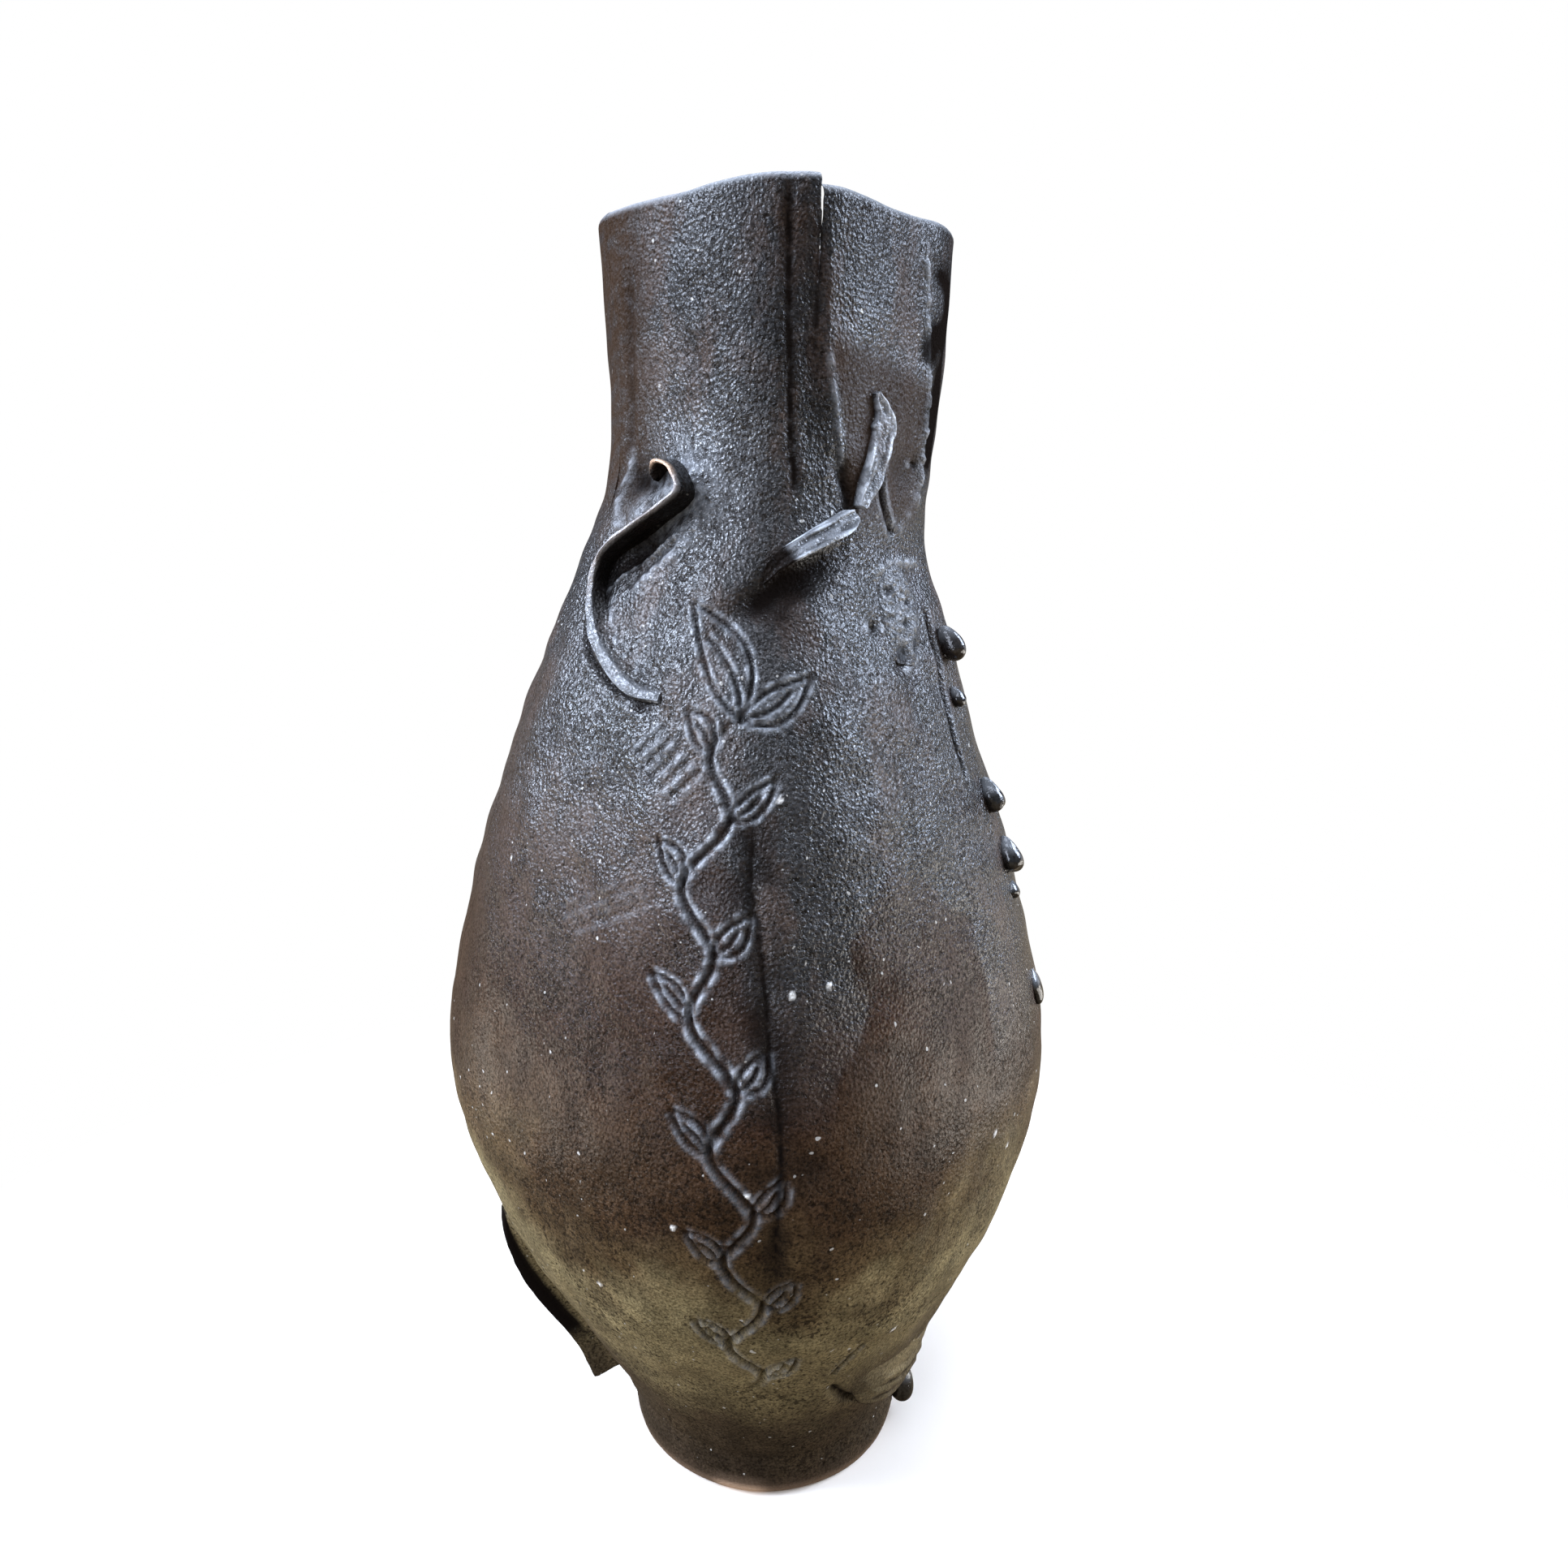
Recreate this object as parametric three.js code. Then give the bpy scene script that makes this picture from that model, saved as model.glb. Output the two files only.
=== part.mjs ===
// Slab-built studio vase: four lapped wall slabs on a ring foot, with applied clay strips and beads.
// Millimetres, +Z up. The underside of the floor is at the origin and the front corner faces -Y.
import * as THREE from "three";

// Overall form
const HEIGHT = 300;
const FOOT_HEIGHT = 14;
const FOOT_RADIUS = 36;
const BELLY_HEIGHT = 108;
const BELLY_HALF_WIDTH = 68.5;
const NECK_LENGTH = 74;
const NECK_BASE_HALF_WIDTH = 36.2;
const NECK_HALF_WIDTH = 32.4;
const RIM_HALF_WIDTH = 34;
const RIM_STEP = 2.2;

// Points that shape the curve between foot, belly and neck
const HIP_RISE = 28;
const HIP_HALF_WIDTH = 49.4;
const FLANK_DROP = 36;
const FLANK_HALF_WIDTH = 62.5;
const UPPER_RISE = 44;
const UPPER_HALF_WIDTH = 59.8;
const SHOULDER_DROP = 36;
const SHOULDER_HALF_WIDTH = 48.6;
const THROAT_RISE = 24;

// Plan of the wall: 2 is round, higher is squarer
const FOOT_SQUARENESS = 2;
const BELLY_SQUARENESS = 2.7;
const NECK_SQUARENESS = 3.3;

// Sideways lean of the hand-built body and neck
const BELLY_LEAN = -3.5;
const NECK_BASE_LEAN = -2;
const NECK_LEAN = 2.4;
const RIM_LEAN = 3.2;

// Seams, as degrees round from the front towards +X
const FRONT_SEAM = 5.5;
const RIGHT_SEAM = 70;
const BACK_SEAM = 185.5;
const LEFT_SEAM = 280;

// Slabs, coils and the gaps between touching pieces
const WALL = 6;
const LAP = 6;
const FLOOR = 6;
const FOOT_EDGE_ROUND = 0.8;
const SEAM_COIL_WIDTH = 8;
const SEAM_COIL_RISE = 3;
const SEAM_COIL_END = 9;
const FLOOR_COIL_RADIUS = 4;
const WAIST_COIL_RADIUS = 2;
const CLEARANCE = 0.3;
const SEAT = 0.4;
const COIL_CLEARANCE = 0.6;

// S-shaped ribbon on the left shoulder, along [azimuth, rise above the neck's base]
const SCROLL_THICKNESS = 2;
const SCROLL_TALL = 7.5;
const SCROLL_LOW = 2.6;
const SCROLL_ROUTE = [
  [-49, 20],
  [-42, 21.8],
  [-31, 20],
  [-24.2, 15],
  [-28.5, 11.5],
  [-39, 7.5],
  [-50, 3],
  [-55, -1],
  [-55.2, -7.5],
  [-50, -14],
  [-40.2, -20],
  [-30.8, -24],
  [-21.5, -25],
];

// Two flat strips on the right that meet at a fold, and a pad below them, measured alike
const STRIP_WIDTH = 4.6;
const STRIP_THICKNESS = 2.2;
const STRIP_TIP_WIDTH = 2.4;
const STRIP_TIP_THICKNESS = 1.5;
const NECK_STRIP_ROUTE = [[38.5, 35.5], [42.5, 30.5], [40.5, 24], [37.5, 18.5], [35, 15]];
const SHOULDER_STRIP_ROUTE = [[31, 10], [24, 9], [15.5, 5.5], [9.5, 2], [2.5, -3]];
const PATCH_WIDTH = 17;
const PATCH_THICKNESS = 1.8;
const PATCH_ROUTE = [[56, 1], [57, -6], [56, -13], [54, -20]];

// Loose slab ends low on the body, along [azimuth, rise above the foot]
const LEFT_FLAP_THICKNESS = 3.2;
const LEFT_FLAP_TOP_RISE = 2.8;
const LEFT_FLAP_RISE = 7.8;
const LEFT_FLAP_TIP_RISE = 10.5;
const LEFT_FLAP_ROUTE = [[-71, 57], [-73, 44], [-75, 30], [-77, 18], [-79, 4]];
const RIGHT_FLAP_WIDTH = 19;
const RIGHT_FLAP_THICKNESS = 2.6;
const RIGHT_FLAP_ROUTE = [[70, 18], [54, 16], [38, 22], [24, 30]];

// Beads down the right side: azimuth, drop below the neck's base, half width, half height and rise
const SIDE_BEADS = [
  [79, 17.2, 2.6, 5, 4.8],
  [76.5, 29, 2.4, 2.6, 2.6],
  [78, 52.5, 3, 4.4, 4.6],
  [78.5, 67, 3, 4.8, 4.6],
  [78, 75, 2.2, 2.4, 2.4],
  [80, 100, 3, 5, 2.4],
];

// Bead on the foot, below its top edge
const FOOT_BEAD_AZIMUTH = 78;
const FOOT_BEAD_DROP = 4;
const FOOT_BEAD_HALF_WIDTH = 3.6;
const FOOT_BEAD_HALF_HEIGHT = 5.8;
const FOOT_BEAD_RISE = 5.4;

// Shares of a strip's width or thickness left at its ends and edges
const END_SHARE = 0.6;
const EDGE_SHARE = 0.6;
const TIP_SHARE = 0.8;

// Fineness of the faceted surfaces
const WALL_ROWS = 30;
const DEGREES_PER_COLUMN = 9.5;
const STRIP_STEPS_PER_STATION = 3;
const BEAD_SIDES = 12;
const BEAD_RINGS = 4;
const RING_SIDES = 48;
const COIL_STEPS = 4;
const SLOPE_STEP = 0.1;

const { degToRad, radToDeg, lerp, clamp, smoothstep } = THREE.MathUtils;
const neckBase = HEIGHT - NECK_LENGTH;
const shoulder = neckBase - SHOULDER_DROP;
const throat = neckBase + THROAT_RISE;
const wallBottom = FOOT_HEIGHT + CLEARANCE;
const footInside = FOOT_RADIUS - WALL;

// Evenly spread values from start to end
function spread(start, end, steps) {
  return Array.from({ length: steps + 1 }, (_, i) => lerp(start, end, i / steps));
}

// A smooth function through [place, value] points
function smoothThrough(points) {
  const slopes = points.map((_, i) => {
    const before = points[Math.max(i - 1, 0)];
    const after = points[Math.min(i + 1, points.length - 1)];
    return (after[1] - before[1]) / (after[0] - before[0]);
  });
  return (place) => {
    let i = 0;
    while (i < points.length - 2 && place > points[i + 1][0]) i += 1;
    const [start, first] = points[i];
    const [end, last] = points[i + 1];
    const span = end - start;
    const t = clamp((place - start) / span, 0, 1);
    const rise = t * t * (3 - 2 * t);
    const leave = t * (1 - t) * (1 - t) * slopes[i];
    const arrive = t * t * (t - 1) * slopes[i + 1];
    return first + (last - first) * rise + span * (leave + arrive);
  };
}

const halfWidth = smoothThrough([
  [FOOT_HEIGHT, FOOT_RADIUS],
  [FOOT_HEIGHT + HIP_RISE, HIP_HALF_WIDTH],
  [BELLY_HEIGHT - FLANK_DROP, FLANK_HALF_WIDTH],
  [BELLY_HEIGHT, BELLY_HALF_WIDTH],
  [BELLY_HEIGHT + UPPER_RISE, UPPER_HALF_WIDTH],
  [shoulder, SHOULDER_HALF_WIDTH],
  [neckBase, NECK_BASE_HALF_WIDTH],
  [throat, NECK_HALF_WIDTH],
  [HEIGHT, RIM_HALF_WIDTH],
]);

const squareness = smoothThrough([
  [FOOT_HEIGHT, FOOT_SQUARENESS],
  [BELLY_HEIGHT, BELLY_SQUARENESS],
  [throat, NECK_SQUARENESS],
  [HEIGHT, NECK_SQUARENESS],
]);

const lean = smoothThrough([
  [FOOT_HEIGHT, 0],
  [BELLY_HEIGHT, BELLY_LEAN],
  [shoulder, BELLY_LEAN],
  [neckBase, NECK_BASE_LEAN],
  [throat, NECK_LEAN],
  [HEIGHT, RIM_LEAN],
]);

// How far the wall's outside lies from its leaning axis
function reach(azimuth, height) {
  const turn = degToRad(azimuth - FRONT_SEAM) - Math.PI / 4;
  const power = squareness(height);
  const corner = Math.abs(Math.cos(turn)) ** power + Math.abs(Math.sin(turn)) ** power;
  return halfWidth(height) * corner ** (-1 / power);
}

// A point on the wall's outside
function outside(azimuth, height) {
  const angle = degToRad(azimuth);
  const radius = reach(azimuth, height);
  return new THREE.Vector3(lean(height) + radius * Math.sin(angle), -radius * Math.cos(angle), height);
}

function alongPlan(azimuth, height) {
  return outside(azimuth + SLOPE_STEP, height).sub(outside(azimuth - SLOPE_STEP, height)).normalize();
}

function upWall(azimuth, height) {
  const high = Math.min(height + SLOPE_STEP, HEIGHT);
  return outside(azimuth, high).sub(outside(azimuth, high - 2 * SLOPE_STEP)).normalize();
}

// A point inside the wall, this deep below its outside and at the same height
function within(azimuth, height, depth) {
  const along = alongPlan(azimuth, height);
  const inward = new THREE.Vector3(-along.y, along.x, 0);
  return outside(azimuth, height).addScaledVector(inward, depth);
}

// A point that stands off the wall along its normal
function standing(azimuth, height, standOff) {
  const normal = alongPlan(azimuth, height).cross(upWall(azimuth, height)).normalize();
  return outside(azimuth, height).addScaledVector(normal, standOff);
}

// Degrees of azimuth for a length along the wall
function degreesFor(length, azimuth, height) {
  return radToDeg(length / reach(azimuth, height));
}

// A closed geometry with its faces turned outwards
function facingOut(positions, faces) {
  const corner = (i) => new THREE.Vector3().fromArray(positions, 3 * i);
  const volume = faces.reduce((sum, [a, b, c]) => sum + corner(a).dot(corner(b).cross(corner(c))), 0);
  const outward = volume > 0 ? faces : faces.map(([a, b, c]) => [a, c, b]);
  const geometry = new THREE.BufferGeometry();
  geometry.setAttribute("position", new THREE.Float32BufferAttribute(positions, 3));
  geometry.setIndex(outward.flat());
  geometry.computeVertexNormals();
  return geometry;
}

// A solid through like sections, closed at both ends. The outline is one section drawn flat.
function loft(sections, outline) {
  const around = outline.length;
  const faces = [];
  for (let s = 0; s + 1 < sections.length; s += 1) {
    for (let k = 0; k < around; k += 1) {
      const here = s * around + k;
      const next = s * around + ((k + 1) % around);
      faces.push([here, next, next + around], [here, next + around, here + around]);
    }
  }
  const turns = Math.sign(THREE.ShapeUtils.area(outline));
  const last = (sections.length - 1) * around;
  for (const [a, b, c] of THREE.ShapeUtils.triangulateShape(outline, [])) {
    const same = Math.sign(THREE.ShapeUtils.area([outline[a], outline[b], outline[c]])) === turns;
    const [p, q] = same ? [b, c] : [c, b];
    faces.push([last + a, last + p, last + q], [a, q, p]);
  }
  return facingOut(sections.flat().flatMap((point) => point.toArray()), faces);
}

const flat = (points) => points.map(([x, y]) => new THREE.Vector2(x, y));

// One wall slab from seam to seam. Its left edge is thinned inside and its right edge laps outside.
function wallSlab(from, to, top) {
  const columns = Math.ceil((to - from) / DEGREES_PER_COLUMN);
  const under = (WALL + CLEARANCE) / 2;
  const over = (WALL - CLEARANCE) / 2;
  const section = (height) => {
    const gap = degreesFor(CLEARANCE, to, height);
    const lapOver = to + degreesFor(LAP, to, height);
    const lapUnder = from + degreesFor(LAP + CLEARANCE, from, height);
    const inner = spread(from, to - gap, columns).map((azimuth) => [azimuth, WALL]);
    const outer = spread(lapOver, lapUnder, columns).map((azimuth) => [azimuth, 0]);
    const rightStep = [[to - gap, over], [lapOver, over]];
    const leftStep = [[lapUnder, under], [from, under]];
    return [...inner, ...rightStep, ...outer, ...leftStep];
  };
  const sections = spread(wallBottom, top, WALL_ROWS).map((height) =>
    section(height).map(([azimuth, depth]) => within(azimuth, height, depth)));
  return loft(sections, flat(section(BELLY_HEIGHT).map(([azimuth, depth]) => [azimuth, -depth])));
}

// A coil pressed along the inside of a seam
function seamCoil(seam) {
  const half = SEAM_COIL_WIDTH / 2;
  const base = spread(-half, half, COIL_STEPS).map((sideways) => [sideways, 0]);
  const dome = spread(0, Math.PI, COIL_STEPS).slice(1, -1).map((angle) =>
    [half * Math.cos(angle), SEAM_COIL_RISE * Math.sin(angle)]);
  const shape = [...base, ...dome];
  const sections = spread(wallBottom + SEAM_COIL_END, HEIGHT - SEAM_COIL_END, WALL_ROWS).map((height) =>
    shape.map(([sideways, rise]) => {
      const azimuth = seam + degreesFor(sideways, seam, height);
      return within(azimuth, height, WALL + COIL_CLEARANCE + rise);
    }));
  return loft(sections, flat(shape));
}

// A ring turned round the foot's axis from a closed profile of [radius, height]
function turned(profile) {
  return new THREE.LatheGeometry(flat([...profile, profile[0]]), RING_SIDES).rotateX(Math.PI / 2);
}

function footRing() {
  return turned([
    [footInside, 0],
    [FOOT_RADIUS - FOOT_EDGE_ROUND, 0],
    [FOOT_RADIUS, FOOT_EDGE_ROUND],
    [FOOT_RADIUS, FOOT_HEIGHT],
    [footInside, FOOT_HEIGHT],
  ]);
}

function floorDisc() {
  const radius = footInside - CLEARANCE;
  const disc = new THREE.CylinderGeometry(radius, radius, FLOOR, RING_SIDES);
  return disc.rotateX(Math.PI / 2).translate(0, 0, FLOOR / 2);
}

// The round inner face of a coil that is pressed against the foot ring
function coilFace(height, radius, from, to) {
  const outer = footInside - CLEARANCE;
  return spread(from, to, COIL_STEPS).map((angle) =>
    [outer - radius * Math.cos(angle), height + radius * Math.sin(angle)]);
}

// A coil pressed into the corner between the floor and the foot ring
function floorCoil() {
  const bottom = FLOOR + CLEARANCE;
  const face = coilFace(bottom, FLOOR_COIL_RADIUS, Math.PI / 2, 0);
  return turned([...face, [footInside - CLEARANCE, bottom]]);
}

// A coil pressed over the joint between the foot ring and the walls
function waistCoil() {
  return turned(coilFace(FOOT_HEIGHT, WAIST_COIL_RADIUS, Math.PI / 2, -Math.PI / 2));
}

// A strip laid along stations of [azimuth, height]. shapeAt gives its section at a share of the route
// as [sideways, stand-off] points on the wall.
function strip(stations, shapeAt) {
  const route = new THREE.CatmullRomCurve3(stations.map(([azimuth, height]) =>
    new THREE.Vector3(azimuth, height, 0)), false, "centripetal");
  const steps = (stations.length - 1) * STRIP_STEPS_PER_STATION;
  const sections = spread(0, 1, steps).map((t) => {
    const { x: azimuth, y: height } = route.getPoint(t);
    const way = route.getTangent(t);
    const climb = upWall(azimuth, height).z;
    const across = degToRad(way.x) * reach(azimuth, height);
    const direction = new THREE.Vector2(across, way.y / climb).normalize();
    return shapeAt(t).map(([sideways, standOff]) => standing(
      azimuth - degreesFor(sideways * direction.y, azimuth, height),
      height + sideways * direction.x * climb,
      SEAT + standOff));
  });
  return loft(sections, flat(shapeAt(0.5)));
}

// Stations measured up from a level
function above(level, route) {
  return route.map(([azimuth, rise]) => [azimuth, level + rise]);
}

// The section of a strip that stands on its edge
function standingSection(thickness, rise) {
  const half = thickness / 2;
  return [[-half, 0], [half, 0], [half * TIP_SHARE, rise], [-half * TIP_SHARE, rise]];
}

// The section of a strip that lies flat, with thinner edges
function lyingSection(width, thickness) {
  const sides = spread(-1, 1, COIL_STEPS);
  const edge = thickness * EDGE_SHARE;
  const underside = sides.map((side) => [side * width / 2, 0]);
  const topside = sides.map((side) => [-side * width / 2, lerp(thickness, edge, side * side)]);
  return [...underside, ...topside];
}

// A width that swells from both ends of a strip to its middle
function swelling(width, t) {
  return width * lerp(END_SHARE, 1, Math.sin(Math.PI * t));
}

// The ribbon starts as a curl and runs out as a low lip
function scrollRibbon() {
  return strip(above(neckBase, SCROLL_ROUTE), (t) => {
    const rise = lerp(SCROLL_TALL, SCROLL_LOW, smoothstep(t, 0.4, 0.8));
    return standingSection(SCROLL_THICKNESS, rise);
  });
}

function neckStrip() {
  return strip(above(neckBase, NECK_STRIP_ROUTE), (t) =>
    lyingSection(swelling(STRIP_WIDTH, t), STRIP_THICKNESS));
}

function shoulderStrip() {
  return strip(above(neckBase, SHOULDER_STRIP_ROUTE), (t) => lyingSection(
    lerp(STRIP_WIDTH, STRIP_TIP_WIDTH, t * t),
    lerp(STRIP_THICKNESS, STRIP_TIP_THICKNESS, t)));
}

function shoulderPatch() {
  return strip(above(neckBase, PATCH_ROUTE), (t) =>
    lyingSection(swelling(PATCH_WIDTH, t), PATCH_THICKNESS));
}

function lowerLeftFlap() {
  const rise = smoothThrough([
    [0, LEFT_FLAP_TOP_RISE],
    [0.4, LEFT_FLAP_RISE],
    [0.8, LEFT_FLAP_RISE],
    [1, LEFT_FLAP_TIP_RISE],
  ]);
  return strip(above(FOOT_HEIGHT, LEFT_FLAP_ROUTE), (t) => standingSection(LEFT_FLAP_THICKNESS, rise(t)));
}

function lowerRightFlap() {
  return strip(above(FOOT_HEIGHT, RIGHT_FLAP_ROUTE), (t) =>
    lyingSection(swelling(RIGHT_FLAP_WIDTH, t), RIGHT_FLAP_THICKNESS));
}

// A domed bead pressed on the wall
function bead(azimuth, height, halfWide, halfTall, rise) {
  const climb = upWall(azimuth, height).z;
  const slopes = spread(0, Math.PI / 2, BEAD_RINGS).slice(0, -1);
  const spokes = spread(0, 2 * Math.PI, BEAD_SIDES).slice(0, -1);
  const sections = slopes.map((slope) => spokes.map((angle) => standing(
    azimuth + degreesFor(Math.cos(slope) * halfWide * Math.cos(angle), azimuth, height),
    height + Math.cos(slope) * halfTall * Math.sin(angle) * climb,
    SEAT + rise * Math.sin(slope))));
  return loft(sections, flat(spokes.map((angle) => [Math.cos(angle), Math.sin(angle)])));
}

function footBead() {
  return bead(FOOT_BEAD_AZIMUTH, FOOT_HEIGHT - FOOT_BEAD_DROP,
    FOOT_BEAD_HALF_WIDTH, FOOT_BEAD_HALF_HEIGHT, FOOT_BEAD_RISE);
}

const glaze = { color: 0x3a312b, roughness: 0.42, metalness: 0 };
const darkGlaze = { color: 0x24201e, roughness: 0.3, metalness: 0 };
const oliveGlaze = { color: 0x5c5341, roughness: 0.5, metalness: 0 };
const bareClay = { color: 0xa98a66, roughness: 0.9, metalness: 0 };

const vase = new THREE.Group();

function add(name, geometry, look) {
  const mesh = new THREE.Mesh(geometry, new THREE.MeshStandardMaterial(look));
  mesh.name = name;
  vase.add(mesh);
}

add("floor_disc", floorDisc(), bareClay);
add("foot_ring", footRing(), glaze);
add("front_left_wall", wallSlab(LEFT_SEAM - 360, FRONT_SEAM, HEIGHT), glaze);
add("front_right_wall", wallSlab(FRONT_SEAM, RIGHT_SEAM, HEIGHT - RIM_STEP), glaze);
add("back_right_wall", wallSlab(RIGHT_SEAM, BACK_SEAM, HEIGHT - RIM_STEP), glaze);
add("back_left_wall", wallSlab(BACK_SEAM, LEFT_SEAM, HEIGHT), glaze);
add("front_seam_coil", seamCoil(FRONT_SEAM), glaze);
add("right_seam_coil", seamCoil(RIGHT_SEAM), glaze);
add("back_seam_coil", seamCoil(BACK_SEAM), glaze);
add("left_seam_coil", seamCoil(LEFT_SEAM), glaze);
add("floor_coil", floorCoil(), glaze);
add("waist_coil", waistCoil(), glaze);
add("scroll_ribbon", scrollRibbon(), glaze);
add("neck_strip", neckStrip(), glaze);
add("shoulder_strip", shoulderStrip(), glaze);
add("shoulder_patch", shoulderPatch(), glaze);
add("lower_left_flap", lowerLeftFlap(), oliveGlaze);
add("lower_right_flap", lowerRightFlap(), oliveGlaze);
SIDE_BEADS.forEach(([azimuth, drop, halfWide, halfTall, rise], i) => {
  add(`side_bead_${i + 1}`, bead(azimuth, neckBase - drop, halfWide, halfTall, rise), darkGlaze);
});
add("foot_bead", footBead(), darkGlaze);

export default vase;
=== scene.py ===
import math

import bpy
import numpy as np
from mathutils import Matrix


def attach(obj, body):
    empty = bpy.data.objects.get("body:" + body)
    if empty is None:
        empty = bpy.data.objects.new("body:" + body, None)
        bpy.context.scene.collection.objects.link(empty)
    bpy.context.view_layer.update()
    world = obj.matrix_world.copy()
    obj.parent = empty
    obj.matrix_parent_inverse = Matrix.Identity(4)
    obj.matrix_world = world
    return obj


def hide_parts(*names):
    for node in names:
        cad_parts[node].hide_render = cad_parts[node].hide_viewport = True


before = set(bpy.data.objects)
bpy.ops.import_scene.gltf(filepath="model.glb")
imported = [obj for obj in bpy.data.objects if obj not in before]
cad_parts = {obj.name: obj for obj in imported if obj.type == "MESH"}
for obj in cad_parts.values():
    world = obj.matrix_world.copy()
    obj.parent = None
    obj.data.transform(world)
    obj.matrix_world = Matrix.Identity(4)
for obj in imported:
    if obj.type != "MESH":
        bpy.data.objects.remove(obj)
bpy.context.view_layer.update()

MM = 0.001

# Sizes of the vase, the same as in its solids
LEFT_RIM = 300.0
FOOT_HEIGHT = 14.0
FOOT_RADIUS = 36.0
NECK_BASE = 226.0
WALL = 6.0
LAP = 6.0
FLOOR = 6.0
FRONT_SEAM = 5.5
RIGHT_SEAM = 70.0
BACK_SEAM = 185.5
LEFT_SEAM = 280.0
FULL_TURN = 360.0


def smooth_through(stations):
    """A curve through (place, value) stations that stays level beyond its ends."""
    places, values = np.array(stations, float).T
    number = np.arange(len(places))
    before = np.maximum(number - 1, 0)
    after = np.minimum(number + 1, len(places) - 1)
    slopes = (values[after] - values[before]) / (places[after] - places[before])

    def curve(place):
        place = np.asarray(place, float)
        first = np.clip(np.searchsorted(places, place) - 1, 0, len(places) - 2)
        span = places[first + 1] - places[first]
        share = np.clip((place - places[first]) / span, 0, 1)
        rise = share * share * (3 - 2 * share)
        leave = share * (1 - share) ** 2 * slopes[first]
        arrive = share * share * (share - 1) * slopes[first + 1]
        return values[first] + (values[first + 1] - values[first]) * rise + span * (leave + arrive)

    return curve


def fade(start, end, place):
    """Goes smoothly from 0 at start to 1 at end."""
    share = np.clip((np.asarray(place, float) - start) / (np.asarray(end, float) - start), 0, 1)
    return share * share * (3 - 2 * share)


# The wall's form: half its width, how square it is and how far it leans, each by height
half_width = smooth_through([
    (14, 36), (42, 49.4), (72, 62.5), (108, 68.5), (152, 59.8),
    (190, 48.6), (226, 36.2), (250, 32.4), (300, 34),
])
squareness = smooth_through([(14, 2), (108, 2.7), (250, 3.3), (300, 3.3)])
lean = smooth_through([(14, 0), (108, -3.5), (190, -3.5), (226, -2), (250, 2.4), (300, 3.2)])


def reach(azimuth, height):
    """How far the wall's outside is from its own axis."""
    turn = np.radians(np.asarray(azimuth, float) - FRONT_SEAM) - math.pi / 4
    power = squareness(height)
    corner = np.abs(np.cos(turn)) ** power + np.abs(np.sin(turn)) ** power
    return half_width(height) * corner ** (-1 / power)


def within(azimuth, height, depth):
    """A point of the wall, level inwards from its outside by a depth."""
    azimuth, height, depth = np.broadcast_arrays(azimuth, height, depth)
    turn = np.radians(azimuth)
    out = reach(azimuth, height) - depth
    return np.stack([lean(height) + out * np.sin(turn), -out * np.cos(turn), height], -1)


def facing(azimuth, height):
    """The direction that the wall's outside faces."""
    step = 0.1
    along = within(azimuth + step, height, 0) - within(azimuth - step, height, 0)
    high = np.minimum(height + step, LEFT_RIM)
    up = within(azimuth, high, 0) - within(azimuth, high - 2 * step, 0)
    out = np.cross(along, up)
    return out / np.linalg.norm(out, axis=-1, keepdims=True)


def on_wall(azimuth, height, stand_off):
    """A point that stands off the wall's outside."""
    azimuth, height, stand_off = np.broadcast_arrays(azimuth, height, stand_off)
    return within(azimuth, height, 0) + facing(azimuth, height) * stand_off[..., None]


def degrees_for(length, azimuth, height):
    """The turn that a length along the wall takes up."""
    return np.degrees(length / reach(azimuth, height))


def slant(height):
    """How much longer the wall is than its height, where it leans in or out."""
    step = 0.5
    return np.hypot(1, (half_width(height + step) - half_width(height - step)) / (2 * step))


def drawn(stations, steps):
    """A smooth line through (azimuth, height) stations, in short straight steps."""
    stations = np.array(stations, float)
    number = np.arange(len(stations))
    place = np.linspace(0, len(stations) - 1, (len(stations) - 1) * steps + 1)
    across = smooth_through(np.stack([number, stations[:, 0]], -1))
    up = smooth_through(np.stack([number, stations[:, 1]], -1))
    return np.stack([across(place), up(place)], -1)


def line_distance(azimuth, height, line, limit):
    """How far each place on the wall is from a line, at most limit, and how far along it."""
    nearest = np.full(azimuth.shape, float(limit))
    along = np.zeros(azimuth.shape)
    for number in range(len(line) - 1):
        (from_turn, from_height), (to_turn, to_height) = line[number], line[number + 1]
        per_degree = math.radians(1) * reach(from_turn, from_height)
        per_height = slant(from_height)
        way = np.array([(to_turn - from_turn) * per_degree, (to_height - from_height) * per_height])
        margin = limit + np.hypot(*way)
        close = np.abs(azimuth - from_turn) * per_degree < margin
        close &= np.abs(height - from_height) * per_height < margin
        if not close.any():
            continue
        right = (azimuth[close] - from_turn) * per_degree
        up = (height[close] - from_height) * per_height
        share = np.clip((right * way[0] + up * way[1]) / max(way @ way, 1e-9), 0, 1)
        gap = np.hypot(right - share * way[0], up - share * way[1])
        closer = gap < nearest[close]
        nearest[close] = np.where(closer, gap, nearest[close])
        along[close] = np.where(closer, (number + share) / (len(line) - 1), along[close])
    return nearest, along


def line_length(line):
    """The length of a line on the wall."""
    azimuth, height = np.array(line, float).T
    middle = (height[1:] + height[:-1]) / 2
    right = np.radians(np.diff(azimuth)) * reach((azimuth[1:] + azimuth[:-1]) / 2, middle)
    return np.sum(np.hypot(right, np.diff(height) * slant(middle)))


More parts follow.
